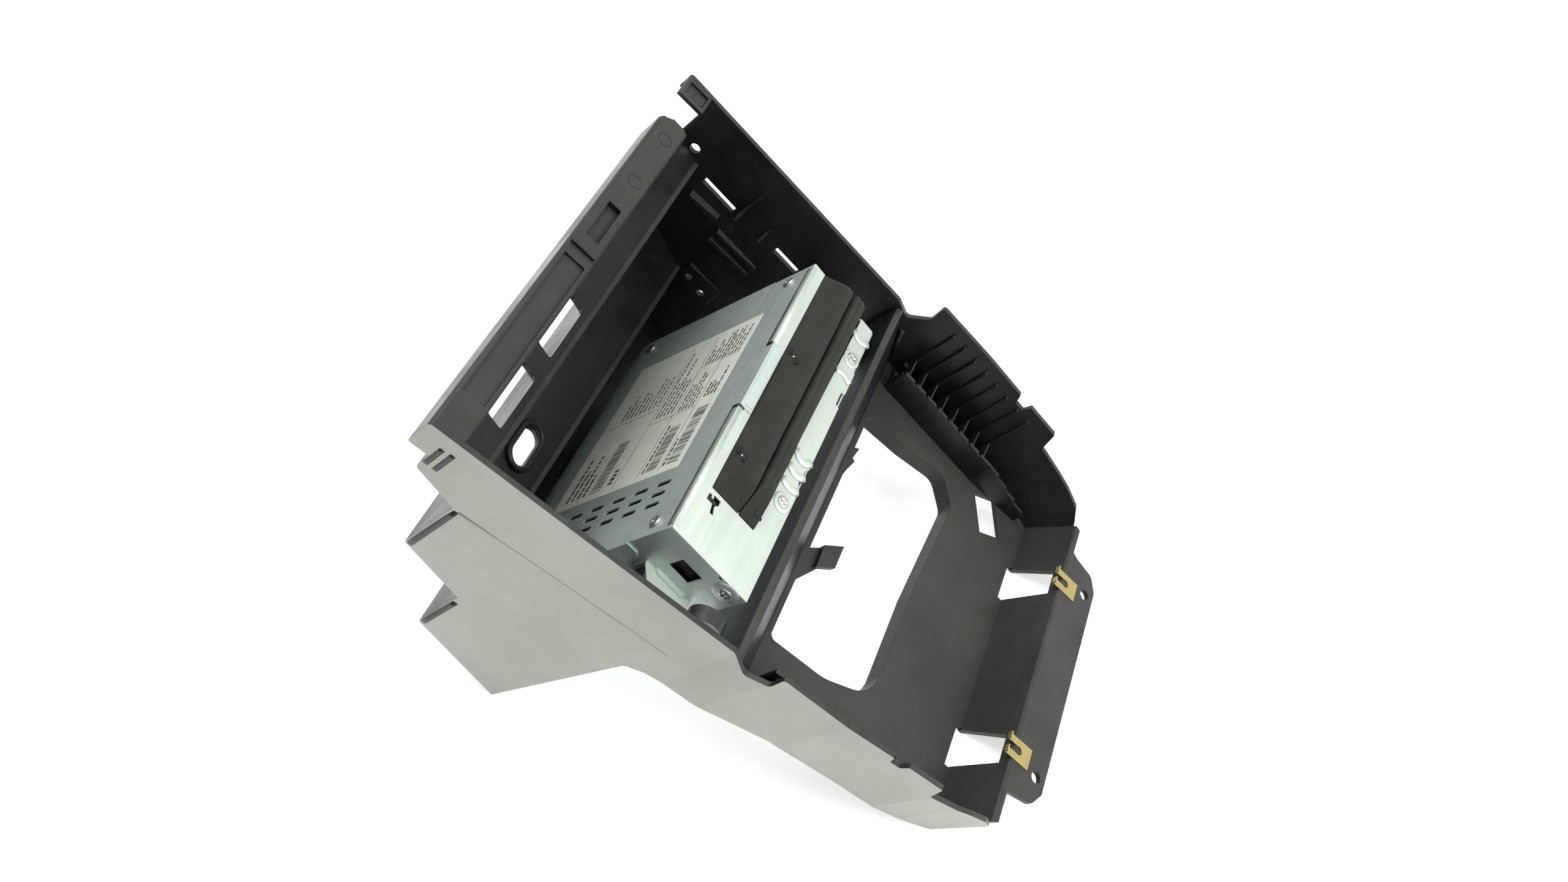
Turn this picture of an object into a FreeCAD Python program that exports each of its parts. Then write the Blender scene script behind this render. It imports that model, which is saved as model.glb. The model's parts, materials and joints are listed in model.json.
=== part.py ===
"""Slot-loading CD unit in the centre-console moulding that carries it.

Two design frames share one origin, the middle of the CD unit's top front edge, with X to the right,
Y into the dashboard and Z up:
  the console frame, in which the moulding's front face is upright and its steps are level;
  the unit frame, in which the CD unit's case is square. It is pitched up towards the rear.
The finished part lies as it lies on a table: on the lower end of the floor plate and on the bottom
corner of the rear wall. All sizes are in millimetres.
"""
import FreeCAD, Part
import math
import os
from collections import namedtuple

import Sketcher
from FreeCAD import Placement, Rotation, Vector

SIZES = {
    # Case of the CD unit
    "case_width": 178.0,
    "case_height": 47.7,
    "case_depth": 130.0,
    "gauge": 0.8,
    "unit_pitch": 7.3,
    "cover_gap": 0.4,
    # Top cover
    "vent_first_x": 54.6,
    "vent_row_pitch": 6.7,
    "vent_first_y": 26.3,
    "vent_pitch": 15.4,
    "vent_length": 10.0,
    "vent_width": 2.6,
    "tab_left": -14.0,
    "tab_right": 28.0,
    "tab_drop": 7.0,
    "emboss_rise": 0.5,
    "emboss_margin": 1.6,
    "cover_lip": 8.0,
    "cover_lip_front": 28.0,
    # Front plate and its window
    "window_top": 8.5,
    "window_left": -58.0,
    "window_left_low": 26.6,
    "window_bevel": 16.9,
    "strip_height": 10.2,
    "ear_drop": 18.0,
    "ear_width": 18.0,
    "strip_step": 1.2,
    "strip_notch": 2.4,
    "strip_notch_left": 32.7,
    "strip_notch_right": 42.3,
    "strip_step_x": 57.3,
    "corner_notch_x": 75.0,
    # Chassis sides
    "side_window_front": 9.9,
    "side_window_rear": 19.6,
    "side_window_top": 17.0,
    "side_window_low": 29.3,
    "edge_notch_top": 30.8,
    "edge_notch_pitch": 5.6,
    "edge_notch_height": 2.2,
    "edge_notch_depth": 1.6,
    # Felt mouth of the slot
    "lip_reach": 7.0,
    "slot_level": 24.2,
    "slot_gap": 1.8,
    "lip_bevel": 9.0,
    "lower_lip_face": 7.4,
    # Label
    "label_left": -45.5,
    "label_width": 107.5,
    "label_front": 22.6,
    "label_depth": 90.4,
    "label_thick": 0.15,
    # Mounting lugs of the CD unit
    "lug_front": 27.1,
    "lug_top": 11.4,
    "lug_height": 27.8,
    "lug_reach": 10.5,
    "lug_foot": 9.0,
    "lug_notch": 2.5,
    "lug_fold": 1.6,
    "lug_fold_width": 2.4,
    # Screws
    "screw_head": 3.2,
    "screw_head_height": 1.5,
    "side_screw_y": 5.7,
    "side_screw_level": 39.7,
    # Main board, connector and heat sink
    "board_standoff": 3.4,
    "board_thick": 1.6,
    "board_inset": 4.0,
    "post_radius": 2.5,
    "board_post_inset": 10.0,
    "board_relief": 2.8,
    "connector_width": 46.0,
    "connector_height": 20.0,
    "connector_reach": 6.0,
    "connector_depth": 3.2,
    "connector_x": 30.0,
    "sink_width": 52.0,
    "sink_x": -44.0,
    "sink_base": 2.0,
    "sink_fin": 4.5,
    "sink_fin_thick": 1.2,
    "sink_fins": 8.0,
    # Mechanism deck
    "deck_level": 30.2,
    "deck_thick": 1.0,
    "deck_width": 142.0,
    "deck_front": 18.0,
    "deck_length": 108.0,
    "deck_post_x": 50.0,
    "deck_post_front": 26.0,
    "deck_post_span": 88.0,
    "deck_post_radius": 2.2,
    "grommet_radius": 4.4,
    "grommet_height": 4.0,
    "disc_centre_y": 69.0,
    "deck_window_start": 18.0,
    "deck_window_length": 46.0,
    "deck_window_width": 20.0,
    "hanger_thick": 1.2,
    "hanger_margin": 4.5,
    # Spindle, turntable and clamp
    "motor_radius": 11.0,
    "motor_height": 6.6,
    "shaft_radius": 1.0,
    "shaft_depth": 5.0,
    "running_fit": 0.04,
    "table_radius": 14.0,
    "table_thick": 2.2,
    "cone_radius": 7.3,
    "cone_height": 1.3,
    "disc_thick": 1.2,
    "puck_radius": 12.0,
    "puck_thick": 2.2,
    "puck_stem": 3.5,
    "puck_cap": 5.5,
    "puck_cap_thick": 1.2,
    "puck_gap": 0.3,
    "clamp_arm_thick": 1.0,
    "clamp_arm_half": 15.0,
    "clamp_arm_front": 52.0,
    "clamp_pivot_y": 117.0,
    "clamp_tube": 2.0,
    "clamp_pin": 1.2,
    "clamp_upright_x": 62.1,
    # Laser sled and its drive
    "rod_radius": 1.25,
    "rod_spread": 17.0,
    "rod_drop": 4.4,
    "rod_start": 12.0,
    "sled_start": 24.0,
    "sled_width": 20.0,
    "sled_height": 6.4,
    "sled_margin": 2.5,
    "lens_radius": 3.0,
    "lens_height": 3.7,
    "lead_radius": 1.5,
    "lead_spread": 22.0,
    "lead_wall": 1.2,
    "gear_radius": 5.0,
    "gear_thick": 2.4,
    "pinion_radius": 1.9,
    "pinion_shaft": 0.9,
    "gear_backlash": 0.35,
    "sled_motor_radius": 4.2,
    "sled_motor_length": 17.0,
    # Loading roller and its drive
    "roller_y": 9.6,
    "roller_radius": 3.6,
    "roller_length": 124.0,
    "roller_nip": 0.2,
    "roller_pin": 1.5,
    "arm_plate": 1.2,
    "arm_gap": 0.3,
    "arm_half_height": 1.9,
    "arm_bar_y": 15.0,
    "arm_bar_width": 2.0,
    "roller_pivot_y": 24.0,
    "roller_gear_radius": 3.4,
    "loading_motor_radius": 4.8,
    "loading_motor_length": 16.0,
    "loading_motor_drop": 8.2,
    "guide_rise": 1.6,
    "guide_thick": 0.8,
    "guide_half": 66.0,
    "guide_front": 5.0,
    # Console moulding, side view
    "wall": 2.6,
    "beam_top": 102.3,
    "beam_low": 86.7,
    "beam_rear": 18.0,
    "upper_step": 92.5,
    "middle_step": 70.0,
    "lower_step": 34.8,
    "upper_rear": 29.0,
    "middle_rear": 82.0,
    "lower_rear": 134.2,
    "rear_rake": 0.374,
    "rear_low": 53.3,
    "front_low": 49.4,
    "box_low_front_y": 59.2,
    "box_low_front": 32.9,
    "ear_front": 13.4,
    "ear_top": 67.7,
    "ear_notch": 131.4,
    "ear_notch_height": 5.6,
    "ear_notch_depth": 4.9,
    "ear_low": 157.9,
    "ear_step": 11.0,
    "end_nose": 204.1,
    "end_nose_depth": 7.4,
    "end_step_depth": 0.9,
    "end_step_rise": 7.4,
    "waist_depth": 5.7,
    "waist_drop": 10.4,
    "waist_front": 2.3,
    "underside_start": 100.1,
    "underside_depth": 49.0,
    "underside_level": 63.6,
    "edge_round": 3.0,
    "small_round": 1.5,
    "plate_depth": 34.2,
    "plate_top": 75.3,
    "plate_end": 194.0,
    # Console moulding, half widths of its outside
    "half_top": 125.4,
    "half_dip": 116.5,
    "half_ear": 120.8,
    "half_ear_middle": 118.4,
    "half_ear_low": 114.0,
    "half_hook": 111.2,
    "half_end": 106.4,
    "half_tip": 97.2,
    "ear_flare": 4.4,
    "box_draft": 2.6,
    # Console moulding, openings and small forms
    "rear_window_low": 3.0,
    "rear_window_height": 9.0,
    "left_window_start": -83.0,
    "left_window_width": 32.0,
    "right_window_start": -38.0,
    "right_window_width": 33.0,
    "stadium_x": -43.0,
    "stadium_width": 21.0,
    "stadium_height": 10.0,
    "stadium_level": 49.5,
    "beam_gap_start": 90.0,
    "beam_gap_end": 109.0,
    "beam_groove": 1.3,
    "beam_groove_left": 104.0,
    "beam_groove_right": 17.0,
    "beam_bracket_left": 11.0,
    "beam_bracket_rise": 1.8,
    "beam_block_start": 29.0,
    "beam_block_rise": 1.0,
    "beam_margin": 1.4,
    # Right wall, inside forms
    "wall_slot_front": 36.5,
    "wall_slot_width": 4.0,
    "wall_slot_low": 38.5,
    "wall_slot_length": 21.5,
    "small_slot_low": -6.5,
    "small_slot_length": 16.0,
    "wall_hole_y": 29.0,
    "wall_hole_level": 74.8,
    "wall_hole_radius": 2.8,
    "gusset_front": 11.0,
    "gusset_rear": 38.0,
    "gusset_low_reach": 6.4,
    "gusset_reach": 12.4,
    "gusset_level": 34.9,
    "gusset_drop": 16.4,
    "rib_thick": 1.6,
    "wall_rib_inset": 10.1,
    "wall_rib_y": 54.0,
    "wall_rib_pitch": 7.0,
    "wall_rib_low": 8.0,
    "wall_rib_high": 36.0,
    "taper_rib_y": 49.2,
    "taper_rib_low": 41.0,
    "taper_rib_high": 60.0,
    "pad_front": 84.5,
    "pad_rear": 98.0,
    "pad_low": 8.0,
    "pad_high": 31.0,
    "pad_hole_radius": 2.0,
    # Left wall, inside boss
    "left_boss_y": 6.5,
    "left_boss_level": 34.5,
    "left_boss_radius": 8.5,
    "left_boss_face": 107.5,
    "nose_depth": 3.0,
    "nose_level": 55.4,
    "flange_rear": 38.0,
    "opening_half": 74.0,
    "opening_top_margin": 3.0,
    "opening_low": 139.5,
    "opening_low_right": 144.5,
    "opening_bulge": 80.0,
    "opening_left_level": 112.0,
    "opening_left_round": 30.0,
    "opening_low_round": 18.0,
    "opening_right_level": 106.0,
    "opening_right_round": 8.0,
    "rim_depth": 7.0,
    "barb_left": 26.0,
    "barb_right": 51.0,
    "barb_drop": 7.0,
    "tongue_left": -41.0,
    "tongue_right": -20.0,
    "tongue_drop": 19.0,
    "tongue_shift": 13.0,
    "tongue_step": 2.7,
    "hook_left": 100.0,
    "hook_width": 12.4,
    "hook_level": 84.0,
    "hook_height": 4.0,
    "hook_front": 22.5,
    "hook_thick": 3.0,
    "ledge_half": 96.8,
    "ledge_half_low": 90.5,
    "ledge_start": 79.0,
    "ledge_end": 148.0,
    "ledge_front": 17.0,
    "ledge_thick": 2.0,
    "ledge_tooth": 1.2,
    "ledge_gap": 1.8,
    "ledge_teeth": 8.0,
    "flare_rib_front": 7.5,
    "flare_rib_height": 1.6,
    "flare_rib_thick": 0.9,
    "side_hole_x": 80.5,
    "side_hole_level": 155.2,
    "side_hole_length": 22.5,
    "side_hole_width": 15.2,
    "side_hole_shift": 6.0,
    "tab_depth": 5.5,
    "tab_top": 207.4,
    "tab_end": 227.8,
    "tab_half": 75.0,
    "tab_end_half": 62.8,
    "tab_hole_x": 57.0,
    "tab_hole_level": 221.6,
    "tab_hole_radius": 3.0,
    "clip_hole_x": 52.6,
    "clip_hole_half": 11.5,
    "clip_hole_end_half": 8.0,
    "clip_hole_near": 11.0,
    "clip_hole_far": 30.6,
    # Spring nuts on the tab
    "nut_x": 52.4,
    "nut_width": 11.0,
    "nut_length": 16.0,
    "nut_gauge": 0.7,
    "nut_rise": 8.6,
    "nut_hole": 2.2,
    "nut_slot": 2.0,
    "nut_lip": 1.8,
}

doc = FreeCAD.newDocument("ConsoleCdPlayer")
sheet = doc.addObject("Spreadsheet::Sheet", "Sizes")
for row, (alias, number) in enumerate(SIZES.items(), start=1):
    sheet.set(f"A{row}", alias)
    sheet.set(f"B{row}", str(number))
    sheet.setAlias(f"B{row}", alias)
doc.recompute()


class Term:
    """A length in millimetres together with the expression that gives it."""

    def __init__(self, value, text):
        self.value = float(value)
        self.text = text

    def __add__(self, other):
        other = term(other)
        return Term(self.value + other.value, f"({self.text} + {other.text})")

    def __sub__(self, other):
        other = term(other)
        return Term(self.value - other.value, f"({self.text} - {other.text})")

    def __mul__(self, other):
        other = term(other)
        return Term(self.value * other.value, f"({self.text} * {other.text})")

    def __truediv__(self, other):
        other = term(other)
        return Term(self.value / other.value, f"({self.text} / {other.text})")

    def __radd__(self, other):
        return term(other) + self

    def __rsub__(self, other):
        return term(other) - self

    def __rmul__(self, other):
        return term(other) * self

    def __neg__(self):
        return Term(-self.value, f"(-{self.text})")

    def __float__(self):
        return self.value


def term(item):
    """Turns a plain number into a term."""
    if isinstance(item, Term):
        return item
    return Term(item, f"({float(item)})")


class Sheet:
    """Gives each cell of the spreadsheet as a term, by its alias."""

    def __getattr__(self, alias):
        return Term(sheet.get(alias), f"Sizes.{alias}")


S = Sheet()
Ring = namedtuple("Ring", "x y radius")


def bind(thing, name, item):
    """Ties a property of an object to a term."""
    thing.setExpression(name, term(item).text)


def move_to(thing, x, y, z):
    """Ties an object's place to three terms."""
    place = Vector(float(x), float(y), float(z))
    thing.Placement = Placement(place, thing.Placement.Rotation)
    bind(thing, "Placement.Base.x", x)
    bind(thing, "Placement.Base.y", y)
    bind(thing, "Placement.Base.z", z)
    return thing


class Rules:
    """Gathers a sketch's constraints, so that the sketch is solved once for all of them."""

    def __init__(self, sketch):
        self.sketch = sketch
        self.constraints = []
        self.ties = []

    def join(self, kind, *elements):
        """A rule without a length, such as two ends that meet."""
        self.constraints.append(Sketcher.Constraint(kind, *elements))

    def hold(self, kind, item, *elements):
        """A rule whose length follows a term."""
        self.ties.append((len(self.constraints), item))
        self.constraints.append(Sketcher.Constraint(kind, *elements, term(item).value))

    def apply(self):
        """Gives the sketch all rules at once and ties their lengths."""
        indices = self.sketch.addConstraint(self.constraints)
        for place, item in self.ties:
            bind(self.sketch, f"Constraints[{indices[place]}]", item)


def draw_ring(sketch, rules, ring):
    """Draws a circle with its centre and radius held."""
    centre = Vector(float(ring.x), float(ring.y), 0)
    circle = sketch.addGeometry(Part.Circle(centre, Vector(0, 0, 1), float(ring.radius)))
    rules.hold("DistanceX", ring.x, -1, 1, circle, 3)
    rules.hold("DistanceY", ring.y, -1, 1, circle, 3)
    rules.hold("Radius", ring.radius, circle)


def round_corner(before, corner, after, radius):
    """Finds where an arc of this radius touches the two sides of a corner, and its centre."""
    back = (before - corner).normalize()
    ahead = (after - corner).normalize()
    half_angle = back.getAngle(ahead) / 2
    setback = radius / math.tan(half_angle)
    bisector = (back + ahead).normalize()
    centre = corner + bisector * (radius / math.sin(half_angle))
    return corner + back * setback, corner + ahead * setback, centre


def draw_arc(sketch, centre, radius, first, last):
    """Draws an arc from first to last and tells which of its ends is which."""
    out = first - centre
    back = last - centre
    turns_left = out.cross(back).z > 0
    circle = Part.Circle(centre, Vector(0, 0, 1), radius)
    angles = [math.atan2(out.y, out.x), math.atan2(back.y, back.x)]
    if not turns_left:
        angles.reverse()
    arc = sketch.addGeometry(Part.ArcOfCircle(circle, *angles))
    return (arc, 1, 2) if turns_left else (arc, 2, 1)


def draw_outline(sketch, rules, outline):
    """Draws a closed outline; a corner with a third entry is rounded to that radius."""
    corners = [Vector(float(corner[0]), float(corner[1]), 0) for corner in outline]
    starts = list(corners)
    ends = list(corners)
    centres = {}
    for index, corner in enumerate(outline):
        if len(corner) == 3:
            before = corners[index - 1]
            after = corners[(index + 1) % len(corners)]
            ends[index], starts[index], centres[index] = round_corner(
                before, corners[index], after, float(corner[2]))
    lines = [sketch.addGeometry(Part.LineSegment(starts[index - 1], ends[index]))
             for index in range(len(corners))]
    for index, corner in enumerate(outline):
        incoming = lines[index]
        outgoing = lines[(index + 1) % len(lines)]
        if index not in centres:
            rules.join("Coincident", incoming, 2, outgoing, 1)
            rules.hold("DistanceX", corner[0], -1, 1, outgoing, 1)
            rules.hold("DistanceY", corner[1], -1, 1, outgoing, 1)
            continue
        arc, near, far = draw_arc(sketch, centres[index], float(corner[2]), ends[index], starts[index])
        point = sketch.addGeometry(Part.Point(corners[index]), True)
        rules.join("Tangent", incoming, 2, arc, near)
        rules.join("Tangent", arc, far, outgoing, 1)
        rules.join("PointOnObject", point, 1, incoming)
        rules.join("PointOnObject", point, 1, outgoing)
        rules.hold("DistanceX", corner[0], -1, 1, point, 1)
        rules.hold("DistanceY", corner[1], -1, 1, point, 1)
        rules.hold("Radius", corner[2], arc)


def draw(sketch, loops):
    """Draws closed outlines and rings into a sketch."""
    rules = Rules(sketch)
    for loop in loops:
        if isinstance(loop, Ring):
            draw_ring(sketch, rules, loop)
        else:
            draw_outline(sketch, rules, loop)
    rules.apply()


def oblong(left, low, right, high, radius=None):
    """Outline of a rectangle, rounded if a radius is given."""
    corners = [(left, low), (right, low), (right, high), (left, high)]
    if radius is None:
        return corners
    return [(x, y, radius) for x, y in corners]


class Piece:
    """A body that grows feature by feature from sketches on its own origin planes."""

    def __init__(self, name):
        self.name = name
        self.body = doc.addObject("PartDesign::Body", name)
        self.count = 0

    def sketch(self, plane, start, loops):
        """Draws loops on an origin plane moved to start along its axis."""
        self.count += 1
        sketch = self.body.newObject("Sketcher::SketchObject", f"{self.name}_sketch_{self.count}")
        origin = next(item for item in self.body.Origin.OriginFeatures if item.Role == f"{plane}_Plane")
        sketch.AttachmentSupport = [(origin, "")]
        sketch.MapMode = "FlatFace"
        bind(sketch, "AttachmentOffset.Base.z", -term(start) if plane == "XZ" else start)
        draw(sketch, loops)
        sketch.Visibility = False
        return sketch

    def add(self, plane, start, depth, *loops):
        """Adds material from start over depth along the plane's axis."""
        sketch = self.sketch(plane, start, loops)
        pad = self.body.newObject("PartDesign::Pad", f"{self.name}_pad_{self.count}")
        pad.Profile = sketch
        pad.Reversed = plane == "XZ"
        bind(pad, "Length", depth)
        return self

    def cut(self, plane, start, depth, *loops):
        """Removes material from start over depth along the plane's axis."""
        sketch = self.sketch(plane, start, loops)
        pocket = self.body.newObject("PartDesign::Pocket", f"{self.name}_pocket_{self.count}")
        pocket.Profile = sketch
        pocket.Reversed = plane != "XZ"
        bind(pocket, "Length", depth)
        return self

    def turn(self, outline):
        """Adds a turned form: an outline of radii and heights about the Z axis."""
        sketch = self.sketch("XZ", 0, [outline])
        turned = self.body.newObject("PartDesign::Revolution", f"{self.name}_turned_{self.count}")
        turned.Profile = sketch
        turned.ReferenceAxis = (sketch, ["V_Axis"])
        turned.Angle = 360.0
        return self

    def slope(self, plane, *stations):
        """Adds a straight loft through outlines, each with its own place along the axis."""
        sketches = [self.sketch(plane, place, [outline]) for place, outline in stations]
        loft = self.body.newObject("PartDesign::AdditiveLoft", f"{self.name}_loft_{self.count}")
        loft.Profile = sketches[0]
        loft.Sections = sketches[1:]
        loft.Ruled = True
        return self


def block(name, low, size):
    """A box from its low corner and its three sizes."""
    box = doc.addObject("Part::Box", name)
    for prop, item in zip(("Length", "Width", "Height"), size):
        bind(box, prop, item)
    return move_to(box, *low)


TURNS = {
    "z": Rotation(),
    "x": Rotation(Vector(0, 1, 0), 90),
    "y": Rotation(Vector(1, 0, 0), -90),
    "-y": Rotation(Vector(1, 0, 0), 90),
    "-x": Rotation(Vector(0, 1, 0), -90),
}


def rod(name, start, radius, length, axis="z"):
    """A cylinder from its start along an axis."""
    cylinder = doc.addObject("Part::Cylinder", name)
    bind(cylinder, "Radius", radius)
    bind(cylinder, "Height", length)
    cylinder.Placement = Placement(Vector(), TURNS[axis])
    return move_to(cylinder, *start)


def fuse(name, *things):
    """Joins objects into one."""
    joined = doc.addObject("Part::MultiFuse", name)
    joined.Shapes = list(things)
    return joined


def cut(name, base, tool):
    """Takes one object out of another."""
    result = doc.addObject("Part::Cut", name)
    result.Base = base
    result.Tool = tool
    return result


def common(name, base, tool):
    """Keeps what two objects share."""
    result = doc.addObject("Part::Common", name)
    result.Base = base
    result.Tool = tool
    return result


def group(name, *things):
    """Keeps objects together without joining them."""
    compound = doc.addObject("Part::Compound", name)
    compound.Links = list(things)
    return compound


def seat(thing, x, y, z, axis="z"):
    """Turns an object's own Z axis to an axis and moves it to its place."""
    thing.Placement = Placement(Vector(), TURNS[axis])
    return move_to(thing, x, y, z)


NODES = []


def node(name, thing, in_unit=False):
    """Lists a finished sub-part under its name, in the console's or the unit's frame."""
    if isinstance(thing, Piece):
        thing = thing.body
    if not thing.Placement.isIdentity():
        thing.Label = f"{name}_form"
        thing = group(f"{name}_placed", thing)
    thing.Label = name
    NODES.append((thing, in_unit))
    return thing


# Derived places of the console, in its own frame
PLATE_BACK = S.plate_depth + S.wall
END_LOW_Z = -(S.plate_end + S.wall * 0.85)
REAR_LOW_Y = S.lower_rear + S.rear_rake * S.rear_low
REAR_LOW_Z = S.lower_step - S.rear_low
UPPER_FOOT = S.upper_rear + S.rear_rake * (S.upper_step - S.middle_step)
MIDDLE_FOOT = S.middle_rear + S.rear_rake * (S.middle_step - S.lower_step)
RAKED_WALL = S.wall * 1.068

# Derived places of the CD unit, in its own frame
HALF = S.case_width / 2
FLOOR = -S.case_height + S.gauge
SLOT_Z = -S.slot_level
DISC_LOW = SLOT_Z - S.disc_thick / 2
DECK_TOP = -S.deck_level
DECK_LOW = DECK_TOP - S.deck_thick
BOARD_LOW = FLOOR + S.board_standoff
BOARD_TOP = BOARD_LOW + S.board_thick
ROD_Z = DECK_LOW - S.rod_drop
PIVOT_Z = DISC_LOW - S.roller_radius + S.roller_nip
DISC_TOP = SLOT_Z + S.disc_thick / 2
DECK_HALF = S.deck_width / 2
DECK_REAR = S.deck_front + S.deck_length
HANGER_X = DECK_HALF - S.hanger_thick
LEAD_Y = S.disc_centre_y - S.lead_spread
SLED_MOTOR_Y = LEAD_Y - S.gear_radius - S.pinion_radius - S.gear_backlash
GEAR_X = DECK_HALF + 0.4
IDLER_RADIUS = S.roller_pivot_y - S.roller_y - S.roller_gear_radius - S.gear_backlash
ARM_X = DECK_HALF - S.gauge - S.arm_gap - S.arm_plate
PUCK_LOW = DISC_TOP + S.puck_gap
CLAMP_LOW = PUCK_LOW + S.puck_thick + S.puck_gap
CLAMP_Z = CLAMP_LOW + S.clamp_arm_thick / 2


def station(half_front, half_plate, inset):
    """Outline of the console across its width at one level, its side walls moved in by inset."""
    front = -(S.ear_front + 1)
    rear = REAR_LOW_Y + 5
    half_rear = half_plate - S.box_draft - inset
    right = [(half_rear, rear), (half_plate - inset, S.plate_depth), (half_front - inset, front)]
    left = [(-x, y) for x, y in reversed(right)]
    return right + left


def console_body(name, inset):
    """Closed body between the side walls' outer faces, or their inner faces if inset."""
    levels = [
        (-(S.end_nose + 6), S.half_tip - 3, S.half_tip - 3 - S.ear_flare),
        (-(S.plate_end + 3), S.half_tip + 3, S.half_tip + 3 - S.ear_flare),
        (-(S.ear_low + 20), S.half_end + 0.6, S.half_end + 0.6 - S.ear_flare),
        (-S.ear_low - 4, S.half_hook, S.half_hook - S.ear_flare),
        (-S.ear_notch - 6, S.half_ear_low, S.half_ear_low - S.ear_flare),
        (-S.ear_top - 36, S.half_ear_middle, S.half_ear_middle - S.ear_flare * 0.9),
        (-S.ear_top, S.half_ear, S.half_ear - S.ear_flare * 0.8),
        (-S.front_low, S.half_dip, S.half_dip),
        (S.beam_top + 6, S.half_top + 0.35, S.half_top + 0.35),
    ]
    body = Piece(name)
    body.slope("XY", *[(level, station(front, plate, inset)) for level, front, plate in levels])
    return body


def side_view():
    """Outline of a side wall seen from the side, as depths and heights."""
    notch_low = -(S.ear_notch + S.ear_notch_height)
    notch_y = -(S.ear_front - S.ear_notch_depth)
    return [
        (0, S.beam_top, 2),
        (0, -S.front_low, S.edge_round),
        (S.waist_depth, -S.front_low - S.waist_drop, S.edge_round),
        (-S.waist_front, -S.ear_top - 1.1, S.edge_round),
        (-S.ear_front, -S.ear_top, S.small_round),
        (-S.ear_front, 1.9 - S.ear_notch, 1.2),
        (notch_y, -S.ear_notch),
        (notch_y, notch_low),
        (-S.ear_front, notch_low - 1.2),
        (-S.ear_front, -S.ear_low, 1),
        (S.ear_step - S.ear_front, -S.ear_low - 3.2, S.small_round),
        (S.ear_step - S.ear_front + 1.4, -S.plate_end + S.end_step_rise),
        (S.end_step_depth, -S.plate_end - S.wall, S.edge_round),
        (S.end_nose_depth, -S.end_nose, S.small_round),
        (PLATE_BACK, END_LOW_Z),
        (PLATE_BACK, -S.underside_start),
        (S.underside_depth, -S.underside_level),
        (S.box_low_front_y - 5.3, -S.box_low_front - 8, S.edge_round),
        (S.box_low_front_y, -S.box_low_front, S.edge_round),
        (REAR_LOW_Y, REAR_LOW_Z),
        (S.lower_rear, S.lower_step, S.edge_round),
        (MIDDLE_FOOT, S.lower_step),
        (S.middle_rear, S.middle_step, S.edge_round),
        (UPPER_FOOT, S.middle_step),
        (S.upper_rear, S.upper_step, S.edge_round),
        (S.beam_rear, S.upper_step),
        (S.beam_rear, S.beam_top, 1.5),
    ]


def make_side_walls(outside, inside):
    """Both side walls: what the side view keeps of the skin between the two closed bodies."""
    reach = S.half_top + 10
    low = -S.end_nose - 10
    view = Piece("side_wall_view").add("YZ", -reach, reach * 2, side_view())
    skin = cut("side_skin", outside.body, inside.body)
    walls = common("side_wall_pair", view.body, skin)
    size = (reach, REAR_LOW_Y + S.ear_front + 10, S.beam_top - low + 5)
    for name, start in (("left_side_wall", -reach), ("right_side_wall", term(0))):
        half = block(f"{name}_half", (start, -S.ear_front - 5, low), size)
        wall = common(f"{name}_blank", walls, half)
        post = mount_post(name, inside)
        if name == "left_side_wall":
            node(name, fuse(f"{name}_joined", wall, post, left_wall_boss(inside)))
            continue
        joined = fuse(f"{name}_joined", wall, post, right_wall_forms(inside))
        node(name, cut(f"{name}_pierced", joined, right_wall_holes()))


def left_wall_boss(inside):
    """Round boss on the left wall's inside, below the CD unit's lug."""
    boss = Piece("left_wall_boss_blank").add(
        "YZ", -S.half_top - 1, S.half_top + 1 - S.left_boss_face,
        Ring(S.left_boss_y, -S.left_boss_level, S.left_boss_radius))
    return common("left_wall_boss", boss.body, inside.body)


def right_wall_forms(inside):
    """Gussets, ribs, a tapered rib and a screw pad on the right wall's inside."""
    outer = S.half_top + 2
    rib_face = S.half_top - S.wall_rib_inset
    deep = outer + 0.5 - rib_face
    forms = Piece("right_wall_forms_blank")
    forms.add("YZ", outer, 1, oblong(0, -10, S.pad_rear + 2, S.taper_rib_high + 2))
    for level in (S.gusset_level, S.gusset_level - S.gusset_drop):
        forms.add("XY", level, S.rib_thick, [
            (outer + 0.5, S.gusset_front),
            (S.half_top - S.gusset_low_reach, S.gusset_front),
            (S.half_top - S.gusset_low_reach - 1, S.gusset_rear - 8, 12),
            (S.half_top - S.gusset_reach, S.gusset_rear),
            (outer + 0.5, S.gusset_rear)])
    forms.add("YZ", rib_face, deep, *[
        oblong(near, S.wall_rib_low, near + S.rib_thick + 0.8, S.wall_rib_high)
        for near in (S.wall_rib_y, S.wall_rib_y + S.wall_rib_pitch)])
    forms.add("YZ", rib_face, deep, [
        (S.taper_rib_y - 2, S.taper_rib_low), (S.taper_rib_y + 2, S.taper_rib_low),
        (S.taper_rib_y + 0.6, S.taper_rib_high), (S.taper_rib_y - 0.6, S.taper_rib_high)])
    forms.add("YZ", rib_face + 0.4, deep - 0.4, oblong(S.pad_front, S.pad_low, S.pad_rear, S.pad_high))
    return common("right_wall_forms", forms.body, inside.body)


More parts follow.
